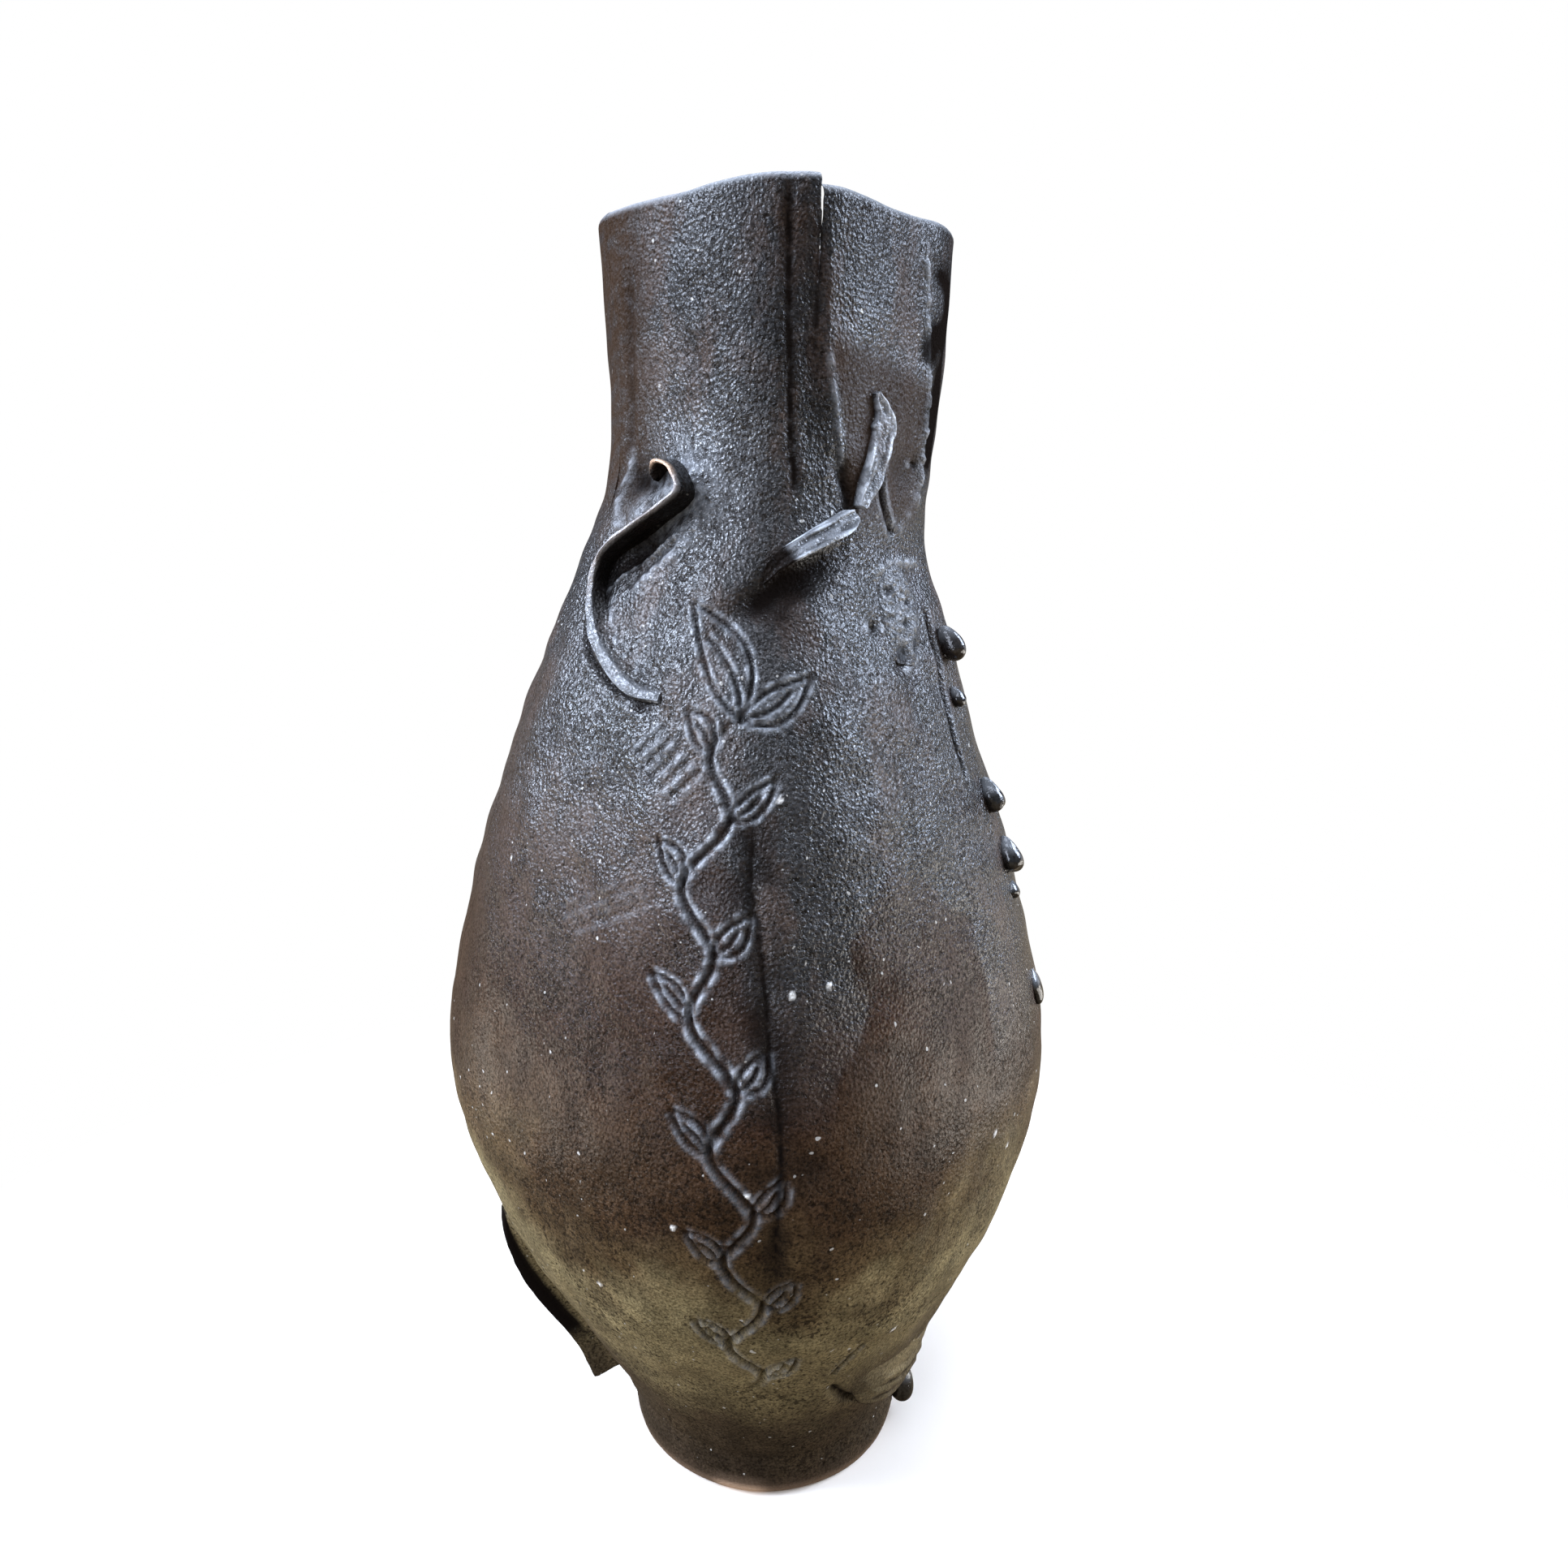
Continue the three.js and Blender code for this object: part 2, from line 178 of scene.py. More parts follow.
# Marks that tools, fingers and joints left in the clay: each one's width, its depth, the burr beside it,
# how dark it is coloured, and its route on the wall. The dark is glaze pooled in the crease, seams,
# grooves and pits, and painted shade in the hollows, holes, recess and slot, under the strips, the
# ribbon's lip and the flap, and beside the neck's ridge. A depth below nothing is a ridge.
CREASE = [(4.2, 299), (4, 287), (4, 273), (5, 258), (5.8, 250), (7.5, 246), (9, 241)]
CHANNEL_EDGE = [(17, 270), (20, 261), (22.2, 255.5), (24.2, 249), (26.5, 243), (32, 239)]
BELLY_SEAM = [
    (3, 182), (2, 169), (3.2, 159), (4.2, 148.5), (4.8, 136.5), (6, 124), (6, 114.5), (5, 98.5), (5, 84),
]
WORKED = {
    "crease down the neck": (2.2, 0.8, 0, 1.1, CREASE),
    "hollow of the belly's seam": (7.0, 0.3, 0, 0.75, BELLY_SEAM),
    "belly's seam": (2.2, 0.6, 0, 1, BELLY_SEAM),
    "edge of the channel": (1.3, -0.35, 0, 0, CHANNEL_EDGE),
    "ridge of the neck's seam": (1.8, -0.8, 0, 0, [
        (66, 292), (66, 288.5), (71, 273), (74.5, 261.5), (75.8, 251), (75.5, 240.5),
    ]),
    "shade beside the ridge": (10.0, 0.3, 0, 1.3, [
        (80.5, 299), (82, 283), (83.5, 274), (84.5, 262), (84.5, 252), (84, 243),
    ]),
    "fold of the neck": (3.2, 0.4, 0, 0.45, [(-60, 286), (-61.5, 274), (-63.5, 262), (-65, 250)]),
    "groove of the side": (1.8, 1.0, 0.05, 0.9, [
        (73.5, 217), (73.5, 215), (72.8, 207), (70.5, 199), (68.8, 189.5), (68.5, 178),
    ]),
    "thumb hollow": (9.0, 0.9, 0, 0.3, [(63, 260), (63, 254), (60.8, 245.5), (57.5, 239)]),
    "thumb's cut edge": (1.8, 0.9, 0.15, 1.3, [(46, 250), (48.5, 242.5), (54.5, 236.5), (59.5, 233.5)]),
    "thumb's ridge": (2.4, -0.25, 0, 0, [(59.5, 233.5), (66.8, 236.5), (72.8, 242), (73.8, 251)]),
    "recess under the strip": (6.0, 2.6, 0, 1, [
        (-4, 217.5), (3, 220.5), (9, 223.5), (18, 226.5), (28, 231),
    ]),
    "shade under the strip": (10.0, 0.6, 0, 0.9, [(-3, 217.5), (7, 219.5), (17, 222.5), (27, 227)]),
    "slot by the strips": (3.0, 1.8, 0, 1.2, [(23, 249), (27.5, 243.5), (31.8, 239.5), (33.8, 237.5)]),
    "hollow under the ribbon": (6.0, 2.4, 0, 0.9, [
        (-22, 241), (-29, 238.5), (-36.5, 234.5), (-44.5, 230.5), (-53, 226),
    ]),
    "groove of the fold": (2.2, 0.6, 0, 0.8, [(-26, 232), (-32, 229), (-39, 226), (-46, 222)]),
    "fold under the ribbon": (1.0, -0.6, 0, 0, [
        (-27.5, 233.5), (-31, 231.8), (-38, 229), (-46.8, 226), (-54, 221.5),
    ]),
    "swell beside the fold": (3.4, -0.5, 0, 0, [(-20, 233.5), (-27, 230), (-34, 226.5), (-41, 222)]),
    "hollow of the curl": (7.0, 1.6, 0, 1.2, [
        (-66, 244), (-58, 244.6), (-50, 245), (-43, 244.6), (-36, 243.6),
    ]),
    "torn edge of the pocket": (2.2, -0.7, 0, 0, [
        (-63, 251), (-63, 247), (-66.2, 244), (-66.5, 240.5), (-62.8, 237), (-59, 235),
    ]),
    "face of the pocket": (5.0, -0.5, 0, 0, [(-46, 240), (-50, 239), (-54, 236.5)]),
    "lip of the patch": (1.6, -0.6, 0, 0, [
        (46.2, 225.5), (54, 227.2), (61.5, 227.6), (70, 227.6), (77, 227),
    ]),
    "ridge inside the ribbon": (1.4, -0.5, 0, 0, [
        (-50, 220), (-46.5, 215), (-41, 210.5), (-34, 207), (-30, 205.5),
    ]),
    "groove below the ribbon": (1.6, 1.4, 0, 1, [
        (-60, 219), (-59.2, 214.5), (-54, 209), (-48, 205.8),
        (-42.2, 203.5), (-33, 201.5), (-22.8, 200.5),
    ]),
    "hole below the ribbon": (2.6, 1.2, 0, 1, [(-31, 199.6), (-25, 199)]),
    "hole by the flap": (2.6, 1.6, 0, 1, [(18.8, 44.5), (22, 39), (26, 34.5), (31, 31)]),
    "line by the flap": (1.1, 0.5, 0.12, 0.7, [(17.5, 50.5), (19, 53.5), (24, 61)]),
    "line under the flap": (1.6, 0.6, 0, 0.8, [(31, 31), (42, 25), (51.5, 20), (60, 16)]),
}
PITS = [
    [(42, 215.5), (41.8, 213)], [(50, 206), (53.8, 208), (58.5, 209.5), (63.8, 211)],
    [(70.5, 250), (70.5, 247.5)],
]
front_edge = smooth_through([
    (14, 5.6), (98.5, 5.2), (124, 6.2), (148.5, 4.6), (169, 3.4), (190, 6),
    (215, 9), (240, 11), (262, 12.4), (283, 13.4), (300, 12.9),
])
LAP_LINE = [(float(front_edge(height)), height) for height in range(268, 293, 4)]
BACK_LINE = [
    (BACK_SEAM + degrees_for(LAP, BACK_SEAM, height) + 0.6 * math.sin(height / 9), height)
    for height in range(18, 296, 9)
]


def combed(start, end, shift, count):
    """Parallel strokes dragged through the soft clay, each shifted from the one before."""
    return [np.array([start, end]) + number * np.array(shift) for number in range(count)]


# The incised vine down the front: a waving stem with a pointed leaf at each bend
VINE_SPINE = smooth_through([
    (48, -2), (84, -0.5), (118, -2), (140, -5), (158, -8), (178, -6), (200, -1),
])
VINE_BOTTOM = 48.0
VINE_TOP = 199.0
VINE_WAVE = 25.0
VINE_SWING = 3.6
LEAF_LENGTH = 10.5
LEAF_WIDTH = 4.6
SHOULDER_LEAF_LENGTH = 25.0
SHOULDER_LEAF_WIDTH = 9.5


def on_vine(sideways, height):
    """A point beside the vine's spine."""
    spine = VINE_SPINE(height)
    return (spine + degrees_for(sideways, spine, height), height)


def vine_stem():
    heights = np.linspace(VINE_BOTTOM, VINE_TOP, 90)
    swing = VINE_SWING * np.sin(2 * math.pi * (heights - VINE_BOTTOM) / VINE_WAVE)
    return np.array([on_vine(side, height) for side, height in zip(swing, heights)])


def leaf(base_side, base_height, angle, length, width):
    """The outline and the rib of a pointed leaf that grows from a point beside the spine."""
    share = np.linspace(0, 1, 9)
    belly = width / 2 * np.sin(math.pi * share ** 0.85)
    droop = 0.08 * length * np.sin(math.pi * share)
    lines = []
    for bend, reach_share in ((belly, 1), (-belly, 1), (0 * belly, 0.72)):
        ahead = length * share * reach_share
        sideways = bend + droop
        right = base_side + ahead * math.sin(angle) + sideways * math.cos(angle)
        up = base_height + ahead * math.cos(angle) - sideways * math.sin(angle)
        lines.append(np.array([on_vine(side, height) for side, height in zip(right, up)]))
    return lines


def vine_leaves():
    lines = []
    bends = int((VINE_TOP - VINE_BOTTOM) / (VINE_WAVE / 2))
    for bend in range(bends):
        height = VINE_BOTTOM + VINE_WAVE * (0.25 + bend / 2)
        side = 1 if bend % 2 == 0 else -1
        lines += leaf(side * VINE_SWING, height, side * 0.75, LEAF_LENGTH, LEAF_WIDTH)
    lines += leaf(1, VINE_TOP - 1, -0.5, SHOULDER_LEAF_LENGTH, SHOULDER_LEAF_WIDTH)
    lines += leaf(1, VINE_TOP - 1, 1.05, 0.62 * SHOULDER_LEAF_LENGTH, 0.7 * SHOULDER_LEAF_WIDTH)
    return lines


def tooled_marks():
    """Every mark, with its route drawn in short steps."""
    marks = [(drawn(route, 6), *cut) for *cut, route in WORKED.values()]
    marks += [(drawn(line, 4), 3.0, 1.4, 0.25, 1.1) for line in PITS]
    marks.append((drawn(LAP_LINE, 2), 1.6, 0, 0, 0.95))
    marks.append((drawn(BACK_LINE, 2), 2.2, 0.6, 0, 0.7))
    marks.append((vine_stem(), 1.5, 0.95, 0.24, 0.6))
    marks += [(line, 1.1, 0.75, 0.2, 0.55) for line in vine_leaves()]
    strokes = combed((-26.5, 189.5), (-18.5, 196.5), (2.6, -1.9), 5)
    marks += [(drawn(line, 4), 1.4, 0.45, 0.12, 0.25) for line in strokes]
    faint = combed((-41, 156), (-19, 166.5), (4, -2.5), 2)
    marks += [(drawn(line, 4), 1.4, 0.12, 0.04, 0) for line in faint]
    return marks


MARKS = tooled_marks()
SPECKS = [
    (15, 148), (8.5, 147), (0.8, 109), (-11, 100), (54, 102.5), (60, 96), (7.5, 183), (-30, 76), (31, 61),
]
SPECK = 1.5
SPECK_RISE = 0.3
crease_at = smooth_through(sorted((height, azimuth) for azimuth, height in CREASE))
channel_at = smooth_through(sorted((height, azimuth) for azimuth, height in CHANNEL_EDGE))
rng = np.random.default_rng(11)


def waves(count, shortest, longest):
    """Directions and starts of slow waves through the clay, whose sum is an uneven surface."""
    ways = rng.normal(size=(count, 3))
    lengths = rng.uniform(shortest, longest, size=count)
    ways *= (2 * math.pi / lengths / np.linalg.norm(ways, axis=1))[:, None]
    return list(zip(ways, rng.uniform(0, 2 * math.pi, size=count)))


LUMPS = waves(28, 7, 20)
CRUMBS = waves(30, 1.6, 4.5)
GRIT = waves(30, 0.8, 2.2)
LUMP_HEIGHT = 0.11


def uneven(spots, ways):
    """How high the clay is at some spots, about 1 up or down."""
    return sum(np.sin(spots @ way + start) for way, start in ways) / math.sqrt(len(ways) / 2)


right_swell = smooth_through([
    (165, 0), (188, -0.8), (212, 1.0), (228, -0.2), (245, -0.4), (262, 0.6), (282, 1.1), (300, 0.8),
])


def swelling(azimuth, height):
    """How far the right side stands out of its plain form."""
    return right_swell(height) * fade(62, 84, azimuth) * fade(140, 105, azimuth)


def handled(azimuth, height, lumps):
    """The slow hollows and small lumps that hands leave in a slab."""
    turn = np.radians(azimuth)
    slow = 0.25 * np.sin(3 * turn + height / 31 + 0.4) + 0.2 * np.sin(5 * turn - height / 23 + 1.9)
    dented = 1 + 0.6 * fade(140, 175, height) * fade(265, 240, height)
    slow *= 1 - 0.85 * fade(262, 298, height)
    return slow + LUMP_HEIGHT * dented * lumps + swelling(azimuth, height)


# Where the black glaze ran further down than elsewhere: a tongue along the front seam, and the right
# flank, with an arch of brown between them. Each side's azimuth is by height.
tongue_side = smooth_through([(120, 13), (128, 14.5), (139, 19), (151, 19.5), (158, 23), (166, 31)])
flank_side = smooth_through([(110, 50), (119.5, 52.5), (140, 55), (151, 51), (163, 40), (168, 36)])


def from_front(azimuth):
    """An azimuth as a turn to either side of the front."""
    return (azimuth + FULL_TURN / 2) % FULL_TURN - FULL_TURN / 2


def glaze_run_and_side_light(azimuth, height, lumps):
    """How much thicker the glaze is where it ran down; below nothing, lighter lower down at the sides."""
    wander = azimuth + 1.5 * lumps
    side = tongue_side(height)
    tongue = fade(-3, 3, wander) * fade(side + 1.5, side - 1.5, wander)
    side = flank_side(height)
    flank = fade(side - 2, side + 3, wander) * fade(120, 95, wander)
    run = np.maximum(tongue * fade(118, 130, height), flank * fade(106, 124, height))
    # Lighter at the lower sides: partly glaze that drained thin, partly painted side light.
    drained_and_lit = 0.25 * fade(25, 65, np.abs(from_front(azimuth))) * fade(140, 105, height)
    return run * fade(205, 180, height) - drained_and_lit


def rusted_and_shaded(azimuth, height, crumbled):
    """Where the glaze is browner and matt: the neck's left corner and right panel, and the left flank,
    whose brown is painted shade.
    """
    turn = from_front(azimuth)
    left = fade(-150, -110, turn)
    corner = fade(-42, -62, turn) * left * fade(225, 250, height)
    panel = fade(channel_at(height), channel_at(height) + 4, azimuth) * fade(78, 72, azimuth)
    panel *= fade(231, 240, height) * fade(272, 266, height + 0.1 * (azimuth - 45))
    # The left flank is darkened with painted shade where the belly turns away from the light.
    flank = fade(-56, -72, turn) * left * fade(100, 128, height) * fade(222, 196, height)
    corner *= np.clip(0.55 + 0.45 * crumbled, 0, 1)
    return np.maximum(corner, np.maximum(0.75 * panel, 0.55 * flank))


CHANNEL_DEPTH = 1.2
PULLED_TURN = -31
PULLED_HEIGHT = 242.5
PULLED_OUT = reach(PULLED_TURN, 243)
PULLED_WIDTH = 8.0
PULLED_RISE = 1.9
LAP_RISE = 0.8
FLARE_RISE = 0.8
FLARE_HEIGHT = 6.0


def relief(azimuth, height):
    """How far the worked clay stands off the plain wall, and where its glaze has pooled dark, run thin,
    turned browner, caught a white speck or run down. Painted light comes with these: shade in the
    hollows and under the strips, highlights on burrs, ridges and the neck's flare, shade on the left
    flank, and side light lower down at the sides."""
    spots = within(azimuth, height, 0)
    lumps = uneven(spots, LUMPS)
    crumbled = 0.8 + 0.5 * np.clip(uneven(spots, CRUMBS), -1.4, 1.4)
    rise = handled(azimuth, height, lumps)
    pool = np.zeros(azimuth.shape)
    thin = np.zeros(azimuth.shape)
    for line, width, depth, burr, dark in MARKS:
        gap, along = line_distance(azimuth, height, line, 3 * width)
        taper = np.clip(width / line_length(line), 0.06, 0.45)
        ends = fade(0, taper, along) * fade(1, 1 - taper, along)
        strength = 0.35 + 0.65 * ends
        core = np.exp(-(gap / (0.5 * width)) ** 2) * strength
        lip = np.exp(-((gap - 0.85 * width) / (0.4 * width)) ** 2) * ends * crumbled
        if depth < 0:
            core = core * np.clip(crumbled, 0.15, 1.3)
        rise += burr * lip - depth * core
        broad = fade(4, 8, width)
        broken = np.clip(0.5 + 0.6 * crumbled + broad, 0, 1)
        # Where a mark is dark, glaze pools in grooves and seams, and shade is painted into hollows and
        # under strips.
        ragged = np.maximum(gap + 0.25 * width * broad * lumps, 0)
        stain_and_shade = np.exp(-(ragged / (0.5 * width)) ** 2) * strength
        pool = np.maximum(pool, dark * stain_and_shade * broken)
        # Burrs and ridges run pale: thin glaze with a painted highlight.
        wear_and_glint = np.minimum(burr, 0.3) / 0.6 * lip + np.clip(-0.6 * depth, 0, 0.4) * core
        thin = np.maximum(thin, wear_and_glint)
    # The painted highlights fade lower down, and where pooled glaze and painted shade lie.
    thin *= 0.35 + 0.65 * fade(95, 150, height)
    thin *= 1 - 0.8 * np.clip(pool, 0, 1)
    share = np.clip((azimuth - crease_at(height)) / (channel_at(height) - crease_at(height)), 0, 1)
    channel = np.sin(math.pi * share) * fade(232, 243, height) * fade(300, 280, height)
    # Painted shade in the channel between the crease and the edge of the channel.
    pool = np.maximum(pool, 0.5 * channel * np.clip(0.4 + 0.6 * crumbled, 0, 1))
    across = np.radians(azimuth - PULLED_TURN) * PULLED_OUT
    pulled = np.exp(-(across ** 2 + (height - PULLED_HEIGHT) ** 2) / PULLED_WIDTH ** 2)
    # A painted highlight where the clay is pulled out at the neck's flare.
    thin = np.maximum(thin, 0.3 * pulled * crumbled)
    lap = fade(276, 294, height) * fade(4, 11, azimuth) * (azimuth < front_edge(height))
    flare = np.exp(-((height - FOOT_HEIGHT) / FLARE_HEIGHT) ** 2)
    rise += PULLED_RISE * pulled + LAP_RISE * lap + FLARE_RISE * flare - CHANNEL_DEPTH * channel
    white = np.zeros(azimuth.shape)
    for speck in SPECKS:
        gap, along = line_distance(azimuth, height, [speck, speck], SPECK)
        white = np.maximum(white, fade(SPECK / 2, SPECK / 4, gap))
    return rise + SPECK_RISE * white, {
        "pool": np.clip(pool, 0, 1), "thin": thin, "rust_and_shade": rusted_and_shaded(azimuth, height, crumbled),
        "white": white, "run": glaze_run_and_side_light(azimuth, height, lumps),
    }


def faced_out(points, sides, ends):
    """The faces of a closed piece, turned so that they look out of it."""
    corners = points[sides]
    first = np.cross(corners[:, 1] - corners[:, 0], corners[:, 2] - corners[:, 0])
    second = np.cross(corners[:, 2] - corners[:, 0], corners[:, 3] - corners[:, 0])
    faces = sides.tolist() + ends
    if np.sum(corners[:, 0] * (first + second)) < 0:
        faces = [face[::-1] for face in faces]
    return faces


def through(sections):
    """The points and faces of a closed piece that runs through like sections."""
    rows, around = sections.shape[:2]
    here = np.arange(rows * around).reshape(rows, around)
    beside = np.roll(here, -1, axis=1)
    sides = np.stack([here[:-1], beside[:-1], beside[1:], here[1:]], -1).reshape(-1, 4)
    points = sections.reshape(-1, 3)
    return points, faced_out(points, sides, [here[0][::-1].tolist(), here[-1].tolist()])


SHARP_EDGE = 40.0
# The glaze's marks. Two of them also carry painted light: pooled glaze with painted shade, and thin glaze
# with a painted highlight.
GLAZE_MARKS = ("pool", "thin", "rust_and_shade", "bare", "white", "run")


def piece(name, slot, points, faces, **surface):
    """Makes a piece of the vase that stands for the solid of the same name. surface holds how far each
    of the glaze's marks shows at each point."""
    mesh = bpy.data.meshes.new(name)
    mesh.from_pydata((points * MM).tolist(), [], faces)
    mesh.polygons.foreach_set("use_smooth", np.ones(len(mesh.polygons), bool))
    mesh.set_sharp_from_angle(angle=math.radians(SHARP_EDGE))
    for mark in GLAZE_MARKS:
        attribute = mesh.attributes.new(mark, "FLOAT", "POINT")
        if mark in surface:
            attribute.data.foreach_set("value", np.asarray(surface[mark], np.float32).ravel())
    mesh.materials.append(LOOKS[slot])
    mesh.update()
    made = bpy.data.objects.new("glazed_" + name, mesh)
    bpy.context.scene.collection.objects.link(made)
    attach(made, "root")
    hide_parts(name)


def graded(places, steps):
    """Places from the first to the last, each stretch in even steps of about the size given for it."""
    stretches = [
        np.linspace(start, end, max(round((end - start) / step), 1), endpoint=False)
        for start, end, step in zip(places, places[1:], steps)
    ]
    return np.append(np.concatenate(stretches), places[-1])


def from_hex(code):
    """An sRGB colour, as linear light."""
    parts = [int(code[n:n + 2], 16) / 255 for n in (1, 3, 5)]
    light = [part / 12.92 if part <= 0.04045 else ((part + 0.055) / 1.055) ** 2.4 for part in parts]
    return light + [1]


def add(tree, kind, values=None, links=None, stops=None, **settings):
    """Adds a node. Values and links go to its inputs by name or number, stops to its colour band."""
    made = tree.nodes.new(kind)
    for name, setting in settings.items():
        setattr(made, name, setting)
    for key, value in (values or {}).items():
        made.inputs[key].default_value = value
    for key, socket in (links or {}).items():
        tree.links.new(socket, made.inputs[key])
    if stops:
        band = made.color_ramp.elements
        while len(band) < len(stops):
            band.new(0.5)
        for element, (place, colour) in zip(band, stops):
            element.position = place
            element.color = from_hex(colour)
    return made


def per_metre(size):
    """The scale of a pattern whose marks are a size in millimetres apart."""
    return 1000 / size


def started(name):
    """A material with its shader ready to be linked."""
    made = bpy.data.materials.new(name)
    made.use_nodes = True
    tree = made.node_tree
    shader = tree.nodes["Principled BSDF"]
    return made, tree, shader


# Sizes of the marks in each pattern
PEEL = 0.8
PEEL_FINE = 0.45
PEEL_HEIGHT = 0.26
CLOUD = 26.0
PATCH_WIDE = 15.0
PATCH_TALL = 30.0
PIT = 1.1
FILM = 9.0
GRAIN = 0.6
DUST = 1.4
GROG = 1.5
FIBRE = 40.0


def glazed_stoneware(name, bands, roughness, peel, dull, glints):
    """Stoneware clay dipped in a thick iron glaze and fired: the glaze breaks from black to brown and
    olive with its thickness, shines like satin, and its skin is dimpled like orange peel. Where it is
    thin it dries to matt brown patches."""
    made, tree, shader = started(name)
    spot = add(tree, "ShaderNodeTexCoord").outputs["Object"]
    upright = add(tree, "ShaderNodeMapping", {
        "Scale": (1, 1, PATCH_WIDE / PATCH_TALL),
    }, {"Vector": spot}).outputs[0]
    field = {"height": add(tree, "ShaderNodeSeparateXYZ", links={0: spot}).outputs["Z"]}
    field["dimple"] = add(tree, "ShaderNodeTexVoronoi", {
        "Scale": per_metre(PEEL), "Smoothness": 0.6,
    }, {"Vector": spot}, feature="SMOOTH_F1").outputs["Distance"]
    for mark in GLAZE_MARKS:
        field[mark] = add(tree, "ShaderNodeAttribute", attribute_name=mark).outputs["Fac"]
    for noise, size, detail, rough, where in (
        ("cloud", CLOUD, 4, 0.6, spot), ("film", FILM, 3, 0.65, spot), ("pits", PIT, 2, 0.7, spot),
        ("patches", PATCH_WIDE, 5, 0.65, upright), ("grain", GRAIN, 2, 0.6, spot),
        ("dust", DUST, 0, 0.5, spot), ("fine", PEEL_FINE, 1, 0.6, spot),
    ):
        field[noise] = add(tree, "ShaderNodeTexNoise", {
            "Scale": per_metre(size), "Detail": detail, "Roughness": rough,
        }, {"Vector": where}).outputs["Fac"]
    field["drift"] = add(tree, "ShaderNodeMath", {1: 0.22, 2: -0.11}, {
        0: field["cloud"],
    }, operation="MULTIPLY_ADD").outputs[0]
    for total, part, times, rest in (
        ("flow", "run", 0.14, "drift"), ("level", "height", 1 / (LEFT_RIM * MM), "flow"),
        ("crowd", "cloud", 0.5, "pits"), ("skin", "fine", 0.7, "dimple"),
    ):
        field[total] = add(tree, "ShaderNodeMath", {1: times}, {
            0: field[part], 2: field[rest],
        }, operation="MULTIPLY_ADD").outputs[0]
    for result, source, start, end, low, high in (
        ("tone", "film", 0.4, 0.7, 0.72, 1.3), ("brown", "patches", 0.5, 0.62, 0.0, 0.8 * peel),
        ("upper", "level", 0.38, 0.5, 0.0, 1.0), ("pitted", "crowd", 0.82, 0.9, 0.0, 0.75),
        ("grained", "grain", 0.35, 0.65, 0.55, 1.5), ("dusted", "dust", 0.83, 0.86, 0.0, 0.6),
        ("rusty_and_shaded", "rust_and_shade", 0.0, 1.0, 0.0, 0.9), ("pale", "thin", 0.0, 1.0, 0.0, 0.85),
        ("wiped", "bare", 0.0, 1.0, 0.0, 0.95), ("speck", "white", 0.0, 1.0, 0.0, 0.95),
        ("glint", "grain", 0.35, 0.65, *glints), ("dulled", "level", 0.48, 0.6, dull, 0.0),
        ("dry", "level", 0.85, 0.92, 0.0, 0.5), ("gloss", "level", 0.2, 0.55, *roughness),
        ("coarse", "level", 0.3, 0.62, 0.4 * peel, peel),
    ):
        field[result] = add(tree, "ShaderNodeMapRange", {
            "From Min": start, "From Max": end, "To Min": low, "To Max": high,
        }, {"Value": field[source]}).outputs[0]
    field["mottled"] = add(tree, "ShaderNodeMath", links={
        0: field["brown"], 1: field["upper"],
    }, operation="MULTIPLY").outputs[0]
    colour = add(tree, "ShaderNodeValToRGB", links={0: field["level"]}, stops=bands).outputs["Color"]
    # Layers of colour. The pool tint colours pooled glaze and painted shade, the pale tint thin glaze
    # with a painted bluish highlight, and the rusty tint browner glaze and painted shade on the left
    # flank.
    for layer, tint in (
        ("tone", None), ("mottled", "#382920"), ("pitted", "#1b1510"), ("grained", None),
        ("dusted", "#cfccc6"), ("rusty_and_shaded", "#34261b"), ("pool", "#161210"), ("pale", "#d0d6de"),
        ("wiped", "#d8b79c"), ("speck", "#ece9e4"),
    ):
        if tint:
            colour = add(tree, "ShaderNodeMix", {7: from_hex(tint)}, {
                0: field[layer], 6: colour,
            }, data_type="RGBA").outputs[2]
        else:
            colour = add(tree, "ShaderNodeMix", {0: 1.0}, {
                6: colour, 7: field[layer],
            }, data_type="RGBA", blend_type="MULTIPLY").outputs[2]
    tree.links.new(colour, shader.inputs["Base Color"])
    glint = field["glint"]
    # Pooled glaze and painted shade lose their reflection as well.
    for layer, lost in (
        ("pool", -1.0), ("pitted", -0.8), ("rust_and_shade", -0.85), ("dulled", -1.0), ("dry", -1.0),
    ):
        kept = add(tree, "ShaderNodeMath", {1: lost, 2: 1.0}, {0: field[layer]}, operation="MULTIPLY_ADD")
        glint = add(tree, "ShaderNodeMath", links={
            0: glint, 1: kept.outputs[0],
        }, operation="MULTIPLY").outputs[0]
    tree.links.new(glint, shader.inputs["Specular IOR Level"])
    gloss = field["gloss"]
    for layer, matt in (("film", 0.1), ("brown", 0.22), ("rust_and_shade", 0.3)):
        gloss = add(tree, "ShaderNodeMath", {1: matt}, {
            0: field[layer], 2: gloss,
        }, operation="MULTIPLY_ADD").outputs[0]
    tree.links.new(gloss, shader.inputs["Roughness"])
    sunk = add(tree, "ShaderNodeMath", {1: -0.5}, {
        0: field["pitted"], 2: field["skin"],
    }, operation="MULTIPLY_ADD")
    bump = add(tree, "ShaderNodeBump", {"Distance": PEEL_HEIGHT * MM}, {
        "Height": sunk.outputs[0], "Strength": field["coarse"],
    })
    tree.links.new(bump.outputs["Normal"], shader.inputs["Normal"])
    shader.inputs["IOR"].default_value = 1.52
    return made


